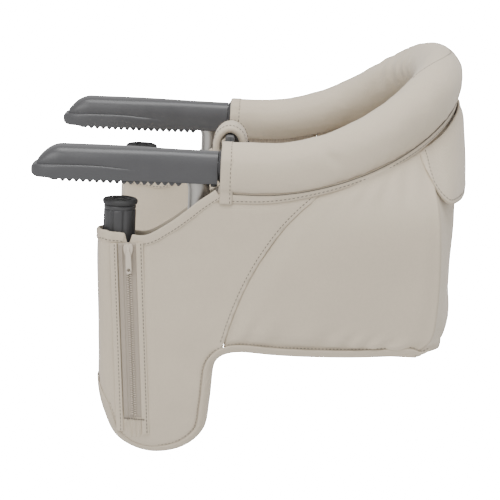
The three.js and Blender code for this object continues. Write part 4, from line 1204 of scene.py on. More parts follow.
    def edge_binding(self) -> None:
        """Gusset round the lobe that runs on as the bound edge under the seat, with its seam stitches."""
        flat = [p for p in self.silhouette if p.y < -185 or p.x > 0]
        path = [Vector((p.x, SEAT.arm_y, p.y)) for p in flat]
        along = tangents_of(path)
        inward = [Vector((0, 1, 0)).cross(t) * -1 for t in along]
        steps = 14
        lengths = lengths_along(path)
        seam = []
        seam_outs = []
        rings = []
        for j, spot in enumerate(path):
            under = 1.3 * ease((spot.x - 20) / 20) - 1.5 * bump(spot.x + 48, 24) * ease((-spot.z - 225) / 15)
            closing = ease((spot.x - 204) / 18)
            width = (self.gusset + under) * lerp(0.12, 1.0, ease(lengths[j] / 30)) * lerp(1.0, 0.3, closing)
            turn = ease((spot.x - 17) / 16) if spot.z > -185 else 0.0
            sewn = flat[j] + Vector((inward[j].x, inward[j].z)) * width
            far = self.half_thickness + 1.2
            near = SEAT.arm_y - min(self.outer_level(sewn), SEAT.face + 12) + 0.5
            near = lerp(near, far, ease((spot.x - 6) / 12))
            ring = []
            for k in range(steps + 1):
                a = math.radians(lerp(-90, lerp(90, lerp(8, -60, closing), turn), k / steps))
                deep = width * (1 - abs(math.cos(a)) ** 0.8) - 0.9 * abs(math.cos(a))
                level = (near if a < 0 else far) * power(math.sin(a), 0.8)
                ring.append(spot + inward[j] * deep + Vector((0, level, 0)))
            rings.append(ring)
            seam.append(ring[0] + inward[j] * 1.4 + Vector((0, 0.2, 0)))
            seam_outs.append(Vector((0, -1, 0)))
        shape = grid_shape(steps, len(rings) - 1, lambda i, j: rings[j][i])
        centre = Vector((self.lobe_x, SEAT.arm_y, self.lobe_z))
        face_out(shape, lambda face: face.normal.dot(face.calc_center_median() - centre))
        for side, piece in make_pair("edge_binding", shape, CLOTH_BOUND, 80).items():
            thicken(piece, 1.0)
            FOLD.blend(piece)
        stitches = StitchGauge(pitch=3.4, length=2.4, radius=0.36).sewn(seam, seam_outs)
        for side, piece in make_pair("edge_binding_stitches", stitches, THREAD_AND_SHADE).items():
            FOLD.blend(piece)

    def mouth_hem(self) -> None:
        """Bound hem round the mouth, in two runs that leave a gap above the zip."""
        gap = 2.6
        outer = [Vector((p.x, self.outer_level(p), p.y)) for p in self.mouth]
        inner = [Vector((p.x, self.inner_level(p), p.y + self.inner_rise)) for p in self.mouth]
        rear_run = [p for p in outer if p.x > self.zip_top[0] + gap]
        front_run = [p for p in reversed(outer) if self.front + 9 < p.x < self.zip_top[0] - gap]
        for a in (math.pi * k / 12 for k in range(13)):
            reach = self.front + 9 * (1 - math.sin(a))
            level = self.mouth[0].y + self.inner_rise * a / math.pi
            front_run.append(Vector((reach, SEAT.arm_y - 18.6 * math.cos(a), level)))
        front_run += [p for p in inner if p.x > self.front + 9]
        band = [(9.0, -0.2), (8.6, 0.9), (1.0, 1.3), (-0.6, 0.6), (-0.6, -1.4), (1.0, -2.2), (8.6, -2.0),
                (9.0, -1.4)]
        flipped = [(-across, proud) for across, proud in band]
        stitches = bmesh.new()
        for stem, run, profile, low in (("rear", rear_run, band, 7.2), ("front", front_run, flipped, -7.2)):
            path = walk(run, 2.5)
            along = tangents_of(path)
            outs = []
            for t, p in zip(along, path):
                flat_t = Vector((t.x, t.y, 0)).normalized()
                out = Vector((0, 0, 1)).cross(flat_t)
                outs.append(out if out.dot(p - Vector((-36, SEAT.arm_y, p.z))) > 0 else -out)
            shape = sweep_shape(path, outs, lambda j: profile)
            for side, piece in make_pair(f"mouth_hem_{stem}", shape, CLOTH_BOUND, 60).items():
                FOLD.blend(piece)
            side_of = [t.cross(o).normalized() for t, o in zip(along, outs)]
            row = [p + s * low + o * 1.0 for p, s, o in zip(path, side_of, outs)]
            StitchGauge(pitch=3.6).sew(stitches, row, outs)
        for side, piece in make_pair("mouth_hem_stitches", stitches, THREAD_AND_SHADE).items():
            FOLD.blend(piece)

    def placket(self) -> None:
        """Folded cloth lips on both sides of the zip, with their stitches and the bar at its lower end."""
        outs = Vector((0, -1, 0))
        stitches = bmesh.new()
        lip = [(-3.2, 0.0), (-3.0, 0.9), (2.2, 1.7), (3.2, 1.3), (3.4, 0.2), (3.0, -0.6), (-3.0, -0.6)]
        for stem, across, end, mirror in (("front", -13.9, 180.0, 1), ("rear", 10.6, 186.0, -1)):
            flat = [self.zip_spot(across, d * 4.0) for d in range(int(end / 4) + 1)]
            path = [Vector((p.x, min(SEAT.face - 1.4, self.outer_level(p)), p.y)) for p in flat]
            profile = [(a * -mirror, b) for a, b in lip]
            shape = sweep_shape(path, [outs] * len(path), lambda j: profile)
            for side, piece in make_pair(f"zip_lip_{stem}", shape, CLOTH, 50).items():
                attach(piece, side.of("arm"))
            row = [self.zip_spot(across + 1.2, d * 4.0) for d in range(int(end / 4) + 1)]
            lifted = [Vector((p.x, q.y - 1.5, p.y)) for p, q in zip(row, path)]
            StitchGauge(pitch=3.6).sew(stitches, lifted, [outs] * len(lifted))
        bar = [self.zip_spot(a, self.zip_length - 5 + 0.12 * a) for a in (-9.5, -5, 0, 5, 9.5)]
        for low in (0.0, 0.7):
            lifted = [Vector((p.x, SEAT.face - 3.6, p.y - low)) for p in bar]
            StitchGauge(pitch=2.2, length=2.2, radius=0.5).sew(stitches, lifted, [outs] * 5)
        for side, piece in make_pair("zip_stitches", stitches, THREAD_AND_SHADE).items():
            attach(piece, side.of("arm"))
        pleat = [(-2.6, 0), (-1.2, 1.0), (0.4, 1.9), (1.4, 1.2), (1.8, 0)]
        pleats = bmesh.new()
        for across in (-5.5, 0.5, 6.0):
            flat = [self.zip_spot(across * (1 - 0.02 * d), self.zip_length - 3 + d) for d in range(0, 17, 2)]
            path = [Vector((p.x, self.outer_level(p) + 0.4, p.y)) for p in flat]
            join_shape(pleats, sweep_shape(path, [outs] * len(path), lambda j: pleat))
        for side, piece in make_pair("zip_foot_pleats", pleats, CLOTH, 60).items():
            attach(piece, side.of("arm"))

    def seam_stitches(self) -> None:
        """Row of stitches on the front side of the curved seam."""
        inset = 3.4
        row = []
        for k in range(81):
            after = SEAT.curved_seam(min(1.0, k / 80 + 0.01))
            before = SEAT.curved_seam(max(0.0, k / 80 - 0.01))
            t = (after - before).normalized()
            spot = SEAT.curved_seam(k / 80) + Vector((t.z, 0, -t.x)) * inset
            row.append(Vector((spot.x, self.outer_level(Vector((spot.x, spot.z))) - 0.1, spot.z)))
        stitches = StitchGauge(pitch=3.8).sewn(row, [Vector((0, -1, 0))] * len(row))
        for side, piece in make_pair("curved_seam_stitches", stitches, THREAD_AND_SHADE).items():
            FOLD.blend(piece)

    def build(self) -> None:
        """Makes both sleeves."""
        self.outer_face()
        self.inner_face()
        self.edge_binding()
        self.mouth_hem()
        self.placket()
        self.seam_stitches()


@dataclass(frozen=True)
class SeatPanels:
    """Padded side panels, back panel and seat base."""

    columns: int = 72
    rows: int = 60
    sheet: float = 6.0
    crown: float = 2.4
    overlap: float = 0.035
    base_front: float = 70.0
    base_sheet: float = 7.0
    base_crown: float = 8.0
    swell: float = 13.5
    seam_tuck: float = 2.2
    corner_fill: float = 6.0
    channels: tuple[float, float] = (58.0, 116.0)
    channel_depth: float = 2.2

    def side_place(self, u: float, v: float) -> Vector:
        """Place on the outer face of a side panel, with its crown and puckers."""
        on_panel = min(1.0, max(0.0, v))
        p = SEAT.side_surface(u, on_panel)
        p.z -= (v - on_panel) * SEAT.seat_depth
        held = ease(min(u, 1 - u) / 0.12) * ease(min(v, 1 - v) / 0.1)
        pucker = math.sin(u * 46 + 2.4 * math.sin(u * 9)) * ease((v - 0.72) / 0.2) * ease((1 - v) / 0.05)
        under = math.sin(u * 34 + 1.7) * ease((0.25 - v) / 0.2) * ease(v / 0.05) * ease((u - 0.1) / 0.3)
        slack = noise.noise(Vector((p.x, p.z, 3.0)) / 42)
        p.y += 0.2 - self.crown * held + 1.1 * pucker + 1.0 * under + 1.2 * slack * held
        p.y += 2.0 * (1 - ease(v / 0.05)) + 1.1 * ease((v - 0.975) / 0.02)
        return p

    def side_panels(self) -> None:
        """The padded rear sides of the seat."""
        shape = grid_shape(self.columns, self.rows, lambda i, j: self.side_place(
            i / self.columns, lerp(-self.overlap, 1 + self.overlap, j / self.rows)))
        face_out(shape, lambda face: -face.normal.y)
        for side, piece in make_pair("side_panel_cloth", shape, CLOTH, 80).items():
            thicken(piece, self.sheet, LINING)
            FOLD.blend(piece)
            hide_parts(side.of("side_panel"))

    def back_place(self, u: float, v: float) -> Vector:
        """Place on the outer face of the back panel."""
        on_panel = min(1.0, v)
        p = SEAT.back_surface(u, on_panel)
        p.z -= (v - on_panel) * SEAT.seat_depth
        slack = noise.noise(Vector((p.y, p.z, 7.0)) / 45)
        held = ease(min(u, 1 - u) / 0.1) * ease(min(v, 1 - v) / 0.1)
        p.x += 1.6 * slack * held - 1.5 * (1 - ease(v / 0.05))
        p.x += self.fullness(u) * max(0.0, (on_panel - 0.52) / 0.48) ** 1.1
        p.y += math.copysign(self.seam_tuck * (1 - ease(min(u, 1 - u) / 0.03)), u - 0.5)
        return p

    def fullness(self, u: float) -> float:
        """How far the padding of the lower back swells out."""
        return self.swell * ease(min(u, 1 - u) / 0.12)

    def back_panel(self) -> None:
        """The padded back of the seat."""
        shape = grid_shape(self.columns, self.rows, lambda i, j: self.back_place(
            i / self.columns, j / self.rows * (1 + self.overlap)))
        face_out(shape, lambda face: face.normal.x)
        piece = make_piece("back_panel_cloth", shape, CLOTH, 80)
        thicken(piece, self.sheet, LINING)
        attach(piece, "seat")
        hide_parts("back_panel")

    def base_place(self, u: float, v: float) -> Vector:
        """Place on the upper face of the seat base."""
        half = -SEAT.face - 1.0
        rear = SEAT.rear_seam - SEAT.tub_corner + SEAT.bow(u) - 1.0 + self.fullness(u)
        rear += self.corner_fill * (1 - ease(min(u, 1 - u) / 0.08))
        crown = self.base_crown * math.sin(math.pi * u) * math.sin(math.pi * v)
        return Vector((lerp(self.base_front, rear, v), lerp(-half, half, u), -SEAT.seat_depth - 0.5 + crown))

    def seat_base(self) -> None:
        """The quilted bottom, in two halves that meet at the middle."""
        columns, rows = 64, 32
        shape = grid_shape(columns, rows, lambda i, j: self.base_place(i / columns, j / rows))
        bmesh.ops.recalc_face_normals(shape, faces=shape.faces)
        bmesh.ops.solidify(shape, geom=shape.faces[:], thickness=self.base_sheet)
        bmesh.ops.recalc_face_normals(shape, faces=shape.faces)
        whole = make_piece("seat_base_whole", shape, CLOTH)
        Stuffing(voxel=5.0, cap=2.5).fill(whole)
        mesh = baked(whole)
        for vert in mesh.vertices:
            if vert.normal.z > 0.3:
                channel = max(bump(abs(vert.co.y) / MM - row, 5) for row in self.channels)
                vert.co.z -= self.channel_depth * MM * channel
        for side in Side:
            half = bmesh.new()
            half.from_mesh(mesh)
            bmesh.ops.scale(half, vec=(1 / MM, 1 / MM, 1 / MM), verts=half.verts)
            geom = [*half.verts, *half.edges, *half.faces]
            bmesh.ops.bisect_plane(half, geom=geom, dist=1e-4, plane_co=(0, 0, 0), plane_no=(0, side.sign, 0),
                                   clear_inner=True)
            rims = [edge for edge in half.edges if edge.is_boundary]
            bmesh.ops.holes_fill(half, edges=rims, sides=0)
            bmesh.ops.recalc_face_normals(half, faces=half.faces)
            piece = make_piece(side.of("seat_base_pad"), half, CLOTH)
            FOLD.blend(piece)
            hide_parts("seat_base")
        bpy.data.objects.remove(whole)
        bpy.data.meshes.remove(mesh)

    def build(self) -> None:
        """Makes the panels and the base."""
        self.side_panels()
        self.back_panel()
        self.seat_base()


@dataclass(frozen=True)
class HookTube:
    """Bent aluminium tube of an arm, from inside the covers down round the hook to the clamp."""

    radius: float = 10.0
    sides: int = 32
    bend: float = 24.0
    legs: float = 73.0
    depth: float = 228.0
    front: float = 112.0
    front_top: float = 101.0

    def line(self) -> list[Vector]:
        """Middle line of the tube, with its bends as arcs."""
        y, level, turn = SEAT.arm_y, SEAT.axis_level, self.legs / 2
        line = [Vector((-self.front, y, level))]
        for k in range(13):
            a = math.pi / 2 * k / 12
            reach = -self.bend + self.bend * math.sin(a)
            line.append(Vector((reach, y, level - self.bend + self.bend * math.cos(a))))
        for k in range(25):
            a = math.pi * k / 24
            line.append(Vector((-turn + turn * math.cos(a), y, -self.depth + turn - turn * math.sin(a))))
        line.append(Vector((-self.legs, y, -self.front_top)))
        return line

    def build(self) -> None:
        """Makes both tubes."""
        path = self.line()
        profile = [(self.radius * math.cos(a), self.radius * math.sin(a)) for a in angles(self.sides)]
        shape = sweep_shape(path, [Vector((0, -1, 0))] * len(path), lambda j: profile)
        for side, piece in make_pair("hook_tube_metal", shape, ALUMINIUM).items():
            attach(piece, side.of("arm"))
            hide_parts(side.of("hook_tube"))


@dataclass(frozen=True)
class MouldedArm:
    """Two moulded covers and the serrated pad of an arm."""

    front: float = 156.0
    rear: float = 17.0
    rear_width: float = 28.0
    front_width: float = 41.0
    flare_start: float = 20.0
    flare_end: float = 110.0
    top_level: float = 32.5
    rear_drop: float = 0.5
    skirt: float = 3.2
    roof: float = 5.4
    channel: float = 15.6
    step: float = 3.0
    nose: float = 28.0
    tip: float = 8.0
    nose_low: float = 6.5
    nose_fall: float = 1.5
    teeth: int = 18
    pitch: float = 6.3
    tooth: float = 3.0
    tooth_tip: float = 1.4
    pad_rear: float = -15.57
    pad_nose: float = 18.0
    pad_half: float = 15.0
    upper_front: float = -151.6
    parting_level: float = 15.2
    parting_arch: float = 1.6
    parting_sink: float = 3.2

    def roundness(self, x: float, length: float) -> float:
        """Roundness of a nose of some length at a reach, 1 before it and 0 at the front."""
        into = min(1.0, max(0.0, (length - self.front - x) / length))
        return math.sqrt(1 - into * into)

    def half_width(self, x: float) -> float:
        """Half width of the lower cover."""
        flare = ease((-x - self.flare_start) / (self.flare_end - self.flare_start))
        wide = lerp(self.rear_width, self.front_width, flare) / 2
        return wide * lerp(0.45, 1, self.roundness(x, self.nose))

    def parting(self, x: float) -> float:
        """Level of the crease between the covers, which rises a little and then sinks towards the rear."""
        arch = self.parting_arch * bump(x + 104, 42)
        return self.parting_level + arch - self.parting_sink * ease((x + 98) / 70)

    def crease(self, x: float) -> float:
        """How far the upper cover is stepped in, fading out towards the rear."""
        return 0.03 + self.step * (1 - ease((x + 118) / 76))

    def lower_ring(self, x: float) -> list[Vector]:
        """Section of the lower cover, with the channel for the pad below."""
        half = self.half_width(x)
        blunt = self.roundness(x, self.tip)
        low = lerp(self.skirt + 5.0, self.skirt, blunt)
        top = lerp(self.parting(x) - 4.0, self.parting(x), blunt)
        roof = max(self.roof, low + 0.4)
        channel = min(self.channel, half - 1.4)
        lip = self.crease(x)
        fold = min(1.0, lip)
        outer = [(channel, roof), (channel, low + 0.3), (channel + 0.3, low), (half - 0.9, low),
                 (half - 0.25, low + 0.4), (half, low + 1.4), (half, top - 2.4),
                 (half - 0.3 * fold, top - 1.2), (half - fold, top - 0.35 * fold), (half - 1.6 - lip, top)]
        ring = [*outer, *[(-a, z) for a, z in reversed(outer)]]
        return [Vector((x, SEAT.arm_y + a, z)) for a, z in ring]

    def upper_ring(self, x: float) -> list[Vector]:
        """Section of the upper cover, flat below and rounded above."""
        half = self.half_width(x) - self.crease(x)
        base = self.parting(x) - 0.5
        crest = self.top_level - self.rear_drop * ease((x + 110) / 90) + 0.7 * bump(x + 60, 45)
        top = max(base + 0.6, lerp(self.nose_low, crest, self.roundness(x, self.nose) ** self.nose_fall))
        arc = []
        for k in range(25):
            a = math.pi * k / 24
            arc.append((half * power(math.cos(a), 0.5), base + (top - base) * power(math.sin(a), 0.72)))
        return [Vector((x, SEAT.arm_y + a, z)) for a, z in arc]

    def covers(self) -> None:
        """Upper and lower covers."""
        straight = [lerp(self.rear, self.nose - self.front, k / 44) for k in range(45)]
        rounded = [self.nose - self.front - self.nose * math.sin(math.pi / 2 * k / 20) for k in range(1, 21)]
        reaches = [*straight, *rounded]
        for stem, ring in (("upper", self.upper_ring), ("lower", self.lower_ring)):
            rings = [ring(x) for x in reaches if stem == "lower" or x > self.upper_front]
            shape = tube_shape(len(rings[0]), len(rings) - 1, lambda i, j: rings[j][i])
            for side, piece in make_pair(f"arm_{stem}_shell", shape, ARM_GREY, 50).items():
                round_edges(piece, 0.7)
                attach(piece, side.of("arm"))
                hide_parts(side.of(f"arm_{stem}_cover"))

    def pad(self) -> None:
        """Serrated pad, as wide as the channel of the lower cover."""
        top = self.roof - 0.2
        outline = [(self.pad_rear, top), (self.pad_rear, self.tooth)]
        for i in range(self.teeth):
            middle = self.pad_rear - (i + 0.5) * self.pitch
            outline += [(middle + self.tooth_tip / 2, 0.0), (middle - self.tooth_tip / 2, 0.0),
                        (middle - self.pitch / 2, self.tooth)]
        front = self.pad_rear - self.teeth * self.pitch
        outline += [(front - self.pad_nose / 8, 1.0), (front - self.pad_nose / 3, 1.0),
                    (front - self.pad_nose, top - 0.7), (front - self.pad_nose, top)]
        shape = bmesh.new()
        add_plate(shape, [(x, -1, z) for x, z in outline], 2)
        for vert in shape.verts:
            vert.co.y = SEAT.arm_y + vert.co.y * min(self.pad_half, self.half_width(vert.co.x) - 1.8)
        bmesh.ops.recalc_face_normals(shape, faces=shape.faces)
        for side, piece in make_pair("grip_pad_rubber", shape, GRIP_GREY, 30).items():
            round_edges(piece, 0.35, 2)
            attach(piece, side.of("arm"))
            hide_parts(side.of("grip_pad"))

    def build(self) -> None:
        """Makes both arms."""
        self.covers()
        self.pad()


@dataclass(frozen=True)
class PivotParts:
    """Collar between arm and rim, and the lock button below it."""

    collar_front: float = 17.3
    collar_length: float = 4.6
    collar_radius: float = 15.5
    button_x: float = 13.6

    def build(self) -> None:
        """Makes both collars and lock buttons."""
        centre = Vector((self.collar_front, SEAT.arm_y, SEAT.axis_level))
        radius, long = self.collar_radius, self.collar_length
        profile = soften([(6.3, 0.0), (radius - 1.6, 0.0), (radius - 1.6, 0.9), (radius, 1.3),
                          (radius, long - 0.7), (radius - 2.2, long), (6.3, long), (6.3, 0.0)], 0.5)
        for side, piece in make_pair("collar_ring", turned_shape(profile, centre, Vector((1, 0, 0)), 64),
                                     CLAMP_CHARCOAL).items():
            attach(piece, "seat")
            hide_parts(side.of("collar"))
        foot = Vector((self.button_x, SEAT.arm_y, 0.0))
        button = soften([(0, -1.0), (3.0, -1.0), (3.0, 5.2), (1.1, 5.2), (1.1, 9.2), (0, 9.2)], 0.6)
        for side, piece in make_pair("lock_button_grey", turned_shape(button, foot, Vector((0, 0, 1)), 32),
                                     BUCKLE_GREY).items():
            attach(piece, side.of("lock"))
            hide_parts(side.of("lock_button"))


@dataclass(frozen=True)
class ScrewClamp:
    """Fluted barrel that is turned by hand and the rubber foot on it."""

    x: float = -73.0
    foot_top: float = -16.0
    foot_radius: float = 16.4
    foot_thickness: float = 5.0
    barrel_radius: float = 15.0
    grip: float = 36.0
    skirt_radius: float = 12.2
    length: float = 91.0
    flutes: int = 8
    flute_depth: float = 1.4
    phase: float = math.radians(70.0)

    def foot(self) -> None:
        """Rubber foot with a ring and a boss on its face."""
        top, radius = self.foot_top, self.foot_radius
        profile = soften([(0, -0.3), (3.2, -0.3), (3.8, -1.3), (6.6, -1.3), (7.2, -0.1), (9.4, -0.1),
                          (10.0, -1.0), (12.4, -1.0), (13.0, 0.0), (radius - 1.4, 0.0), (radius, -1.4),
                          (radius, -3.2), (radius - 0.9, -self.foot_thickness),
                          (0, -self.foot_thickness)], 0.5)
        shape = turned_shape(profile, Vector((self.x, SEAT.arm_y, top)), Vector((0, 0, 1)), 64)
        for side, piece in make_pair("clamp_foot_rubber", shape, RUBBER).items():
            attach(piece, side.of("foot"))
            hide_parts(side.of("clamp_foot"))

    def barrel(self) -> None:
        """Barrel with flutes between a collar and the skirt."""
        top = self.foot_top - self.foot_thickness - 0.3
        levels = [0.0, 0.5, 1.2, 3.6, 4.2, 4.8, 6.0, 12.0, 20.0, 28.0, 34.0, self.grip,
                  self.grip + 2.8, self.grip + 4, 60.0, self.length - 1, self.length]
        columns = self.flutes * 16

        def place(i: int, j: int) -> Vector:
            """Point of the barrel, with its flutes and its neck."""
            down = levels[j]
            angle = 2 * math.pi * i / columns
            body = self.barrel_radius if down <= self.grip else lerp(
                self.barrel_radius, self.skirt_radius, ease((down - self.grip) / 2.8))
            body -= 0.8 * (1 - ease(down / 1.0)) + 0.6 * ease((down - self.length + 1) / 1.0)
            groove = max(0.0, math.cos((angle + self.phase) * self.flutes)) ** 3
            depth = self.flute_depth * ease((down - 4.0) / 0.8) * ease((self.grip - down) / 1.5)
            neck = 0.7 * bump(down - 4.2, 0.5)
            radius = body - depth * groove - neck
            reach = self.x + radius * math.cos(angle)
            return Vector((reach, SEAT.arm_y + radius * math.sin(angle), top - down))

        shape = tube_shape(columns, len(levels) - 1, place)
        for side, piece in make_pair("clamp_barrel_grip", shape, CLAMP_CHARCOAL, 50).items():
            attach(piece, side.of("knob"))
            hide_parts(side.of("clamp_barrel"))

    def build(self) -> None:
        """Makes both clamps."""
        self.foot()
        self.barrel()


@dataclass(frozen=True)
class Zip:
    """Zip on a sleeve: woven tape, interlocked teeth, slider and pull."""

    tape_half: float = 9.5
    tape_face: float = -175.1
    chain_face: float = -177.0
    tooth_pitch: float = 2.2
    tooth_size: Triple = (1.6, 1.0, 0.62)
    tooth_aside: float = 1.15
    slider_half: float = 4.4
    slider_length: float = 13.0
    pull_length: float = 22.0
    pull_half: float = 3.25
    pull_face: float = -180.3
    pull_sheet: float = 1.0

    def to_seat(self, across: float, level: float, down: float) -> Vector:
        """Place on the sleeve of a spot beside the zip."""
        p = SLEEVE.zip_spot(across, down)
        return Vector((p.x, level, p.y))

    def tape(self) -> None:
        """Two woven tapes with a slit between them."""
        shape = bmesh.new()
        columns, rows = 24, 60
        for low, high in ((-self.tape_half, -0.5), (0.5, self.tape_half)):
            def place(i: int, j: int) -> Vector:
                """Point of a tape, with the ridge along the front one."""
                across = lerp(low, high, i / columns)
                level = self.tape_face - 0.9 * bump(across + 5.8, 0.7)
                return self.to_seat(across, level, j / rows * SLEEVE.zip_length)

            join_shape(shape, grid_shape(columns, rows, place))
        face_out(shape, lambda face: -face.normal.y)
        for side, piece in make_pair("zip_tape_cloth", shape, ZIP_TAPE, 60).items():
            thicken(piece, 0.7)
            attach(piece, side.of("arm"))
            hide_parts(side.of("zip_tape"))

    def chain(self) -> None:
        """Rows of teeth that lock into each other from both sides."""
        shape = bmesh.new()
        lean = Matrix.Rotation(SLEEVE.zip_lean, 3, "Y").inverted()
        count = int((SLEEVE.zip_length - 8) / self.tooth_pitch)
        for k in range(count):
            for sign in (-1, 1):
                down = 1.5 + (k + (0.25 if sign > 0 else -0.25)) * self.tooth_pitch
                spot = self.to_seat(sign * self.tooth_aside, self.chain_face + 0.8, max(0.8, down))
                size = Matrix.Diagonal((*self.tooth_size, 1))
                place = Matrix.Translation(spot) @ lean.to_4x4() @ size
                bmesh.ops.create_icosphere(shape, subdivisions=1, radius=1.0, matrix=place)
        for side, piece in make_pair("zip_teeth", shape, ZIP_TINT, 60).items():
            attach(piece, side.of("arm"))
            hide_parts(side.of("zip_chain"))

    def slider(self) -> None:
        """Slider with a narrowed body and a bridge for the pull."""
        outline = [(-0.72, 0.0), (0.72, 0.0), (1.0, 0.18), (0.95, 0.45), (0.62, 0.8), (0.55, 1.0),
                   (-0.55, 1.0), (-0.62, 0.8), (-0.95, 0.45), (-1.0, 0.18)]
        shape = bmesh.new()
        front_plate = (self.chain_face - 1.6, self.chain_face - 0.2)
        rear_plate = (self.tape_face - 0.7, self.tape_face - 0.2)
        for low, high in (front_plate, rear_plate):
            spots = [self.to_seat(a * self.slider_half, low, 1 + d * self.slider_length) for a, d in outline]
            add_plate(shape, spots, high - low)
        rises = [1.1 * math.sin(math.pi * k / 8) for k in range(9)]
        bridge = [self.to_seat(0, self.chain_face - 1.4 - rise, 3.0 + k) for k, rise in enumerate(rises)]
        bar = [(-1.1, 0.35), (1.1, 0.35), (1.1, -0.5), (-1.1, -0.5)]
        join_shape(shape, sweep_shape(bridge, [Vector((0, -1, 0))] * len(bridge), lambda j: bar))
        bmesh.ops.recalc_face_normals(shape, faces=shape.faces)
        for side, piece in make_pair("zip_slider_body", shape, ZIP_TINT, 35).items():
            round_edges(piece, 0.35, 2)
            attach(piece, side.of("zip_slider"))
            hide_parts(side.of("zip_slider"))

    def pull(self) -> None:
        """Tapered pull with a hole in its lower end."""
        start = 6.5
        columns = 40

        def edge(angle: float, hole: bool) -> tuple[float, float]:
            """Outline of the tab or of its hole, as across and down."""
            if hole:
                return 1.5 * math.sin(angle), self.pull_length - 3.6 - 1.5 * math.cos(angle)
            across, down = math.sin(angle), -math.cos(angle)
            long = self.pull_length / 2
            taper = lerp(0.62, 1.0, (down + 1) / 2)
            return self.pull_half * taper * power(across, 0.6), long + long * power(down, 0.45)

        def place(i: int, j: int) -> Vector:
            """Ring of the tab's section: outer near, outer far, hole far, hole near."""
            angle = 2 * math.pi * i / columns
            ring = j % 4
            across, down = edge(angle, ring in (2, 3))
            level = self.pull_face if ring in (0, 3) else self.pull_face + self.pull_sheet
            return self.to_seat(across, level, start + down)

        shape = tube_shape(columns, 4, place, capped=False)
        for side, piece in make_pair("zip_pull_tab", shape, ZIP_TINT, 40).items():
            round_edges(piece, 0.3, 2)
            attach(piece, side.of("zip_pull"))
            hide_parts(side.of("zip_pull"))

    def build(self) -> None:
        """Makes both zips."""
        self.tape()
        self.chain()
        self.slider()
        self.pull()


@dataclass(frozen=True)
class CrotchStrap:
    """Padded strap from the base up to the loop that the belt goes through."""

    half: float = 22.0
    foot_half: float = 48.0
    sheet: float = 4.0
    loop_sheet: float = 8.0
    loop_x: float = 24.0
    loop_z: float = 14.5
    loop_half_width: float = 17.0
    loop_half_height: float = 21.0
    squash_keep: float = 0.42

    def squash(self, piece: Piece) -> None:
        """Gives a piece its own copy of its mesh."""
        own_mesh(piece)

    def band_profile(self, half: float, sheet: float) -> list[tuple[float, float]]:
        """Soft flat section of the strap."""
        return [(half * power(math.cos(a), 0.35), sheet / 2 * power(math.sin(a), 0.7)) for a in angles(24)]

    def width_at(self, z: float) -> float:
        """Half width of the strap at a level."""
        loop_low = self.loop_z - self.loop_half_height
        foot = -SEAT.seat_depth - 7.5
        return lerp(self.half, self.foot_half, min(1.0, max(0.0, (loop_low - z) / (loop_low - foot))))

    def build(self) -> None:
        """Makes the strap, its loop and the stitches on it."""
        steps = 48
        middle = self.loop_sheet / 2
        loop = []
        outs = []
        for a in angles(steps):
            loop.append(Vector((self.loop_x + (self.loop_half_width - middle) * math.cos(a), 0,
                                self.loop_z + (self.loop_half_height - middle) * math.sin(a))))
            outs.append(Vector((math.cos(a), 0, math.sin(a))))
        section = self.band_profile(self.half, self.loop_sheet)

        def place(i: int, j: int) -> Vector:
            """Point of the loop, which closes on itself."""
            across, proud = section[i]
            return loop[j % steps] + outs[j % steps] * proud + Vector((0, across, 0))

        ring = tube_shape(24, steps, place, capped=False)
        piece = make_piece("crotch_loop", ring, CLOTH, 80)
        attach(piece, "seat")
        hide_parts("crotch_strap")
        self.squash(piece)
        low = self.loop_z - self.loop_half_height
        spots = [Vector((67.5, 0, -153.0)), Vector((64.5, 0, -138)), Vector((36, 0, -73)),
                 Vector((22, 0, low - 12)), Vector((20, 0, low + 2))]
        path = smooth_line(spots, 60, 5.0)
        back = [Vector((-1, 0, 0))] * len(path)
        band = sweep_shape(path, back, lambda j: self.band_profile(self.width_at(path[j].z), self.sheet))
        piece = make_piece("crotch_band", band, CLOTH, 80)
        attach(piece, "seat")
        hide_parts("crotch_strap")
        self.squash(piece)
        stitches = bmesh.new()
        for side in (-1, 1):
            aside = Vector((0, side * (self.half - 4), 0))
            row = [p + o * (middle + 0.1) + aside for p, o in zip(loop, outs)]
            StitchGauge(pitch=3.6).sew(stitches, row, outs)
            for face in (-1, 1):
                proud = face * -(self.sheet / 2 + 0.1)
                row = [p + Vector((proud, side * (self.width_at(p.z) - 4.5), 0)) for p in path]
                StitchGauge(pitch=3.6).sew(stitches, row, [Vector((-face, 0, 0))] * len(row))
        piece = make_piece("crotch_stitches", stitches, THREAD_AND_SHADE)
        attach(piece, "seat")
        self.squash(piece)


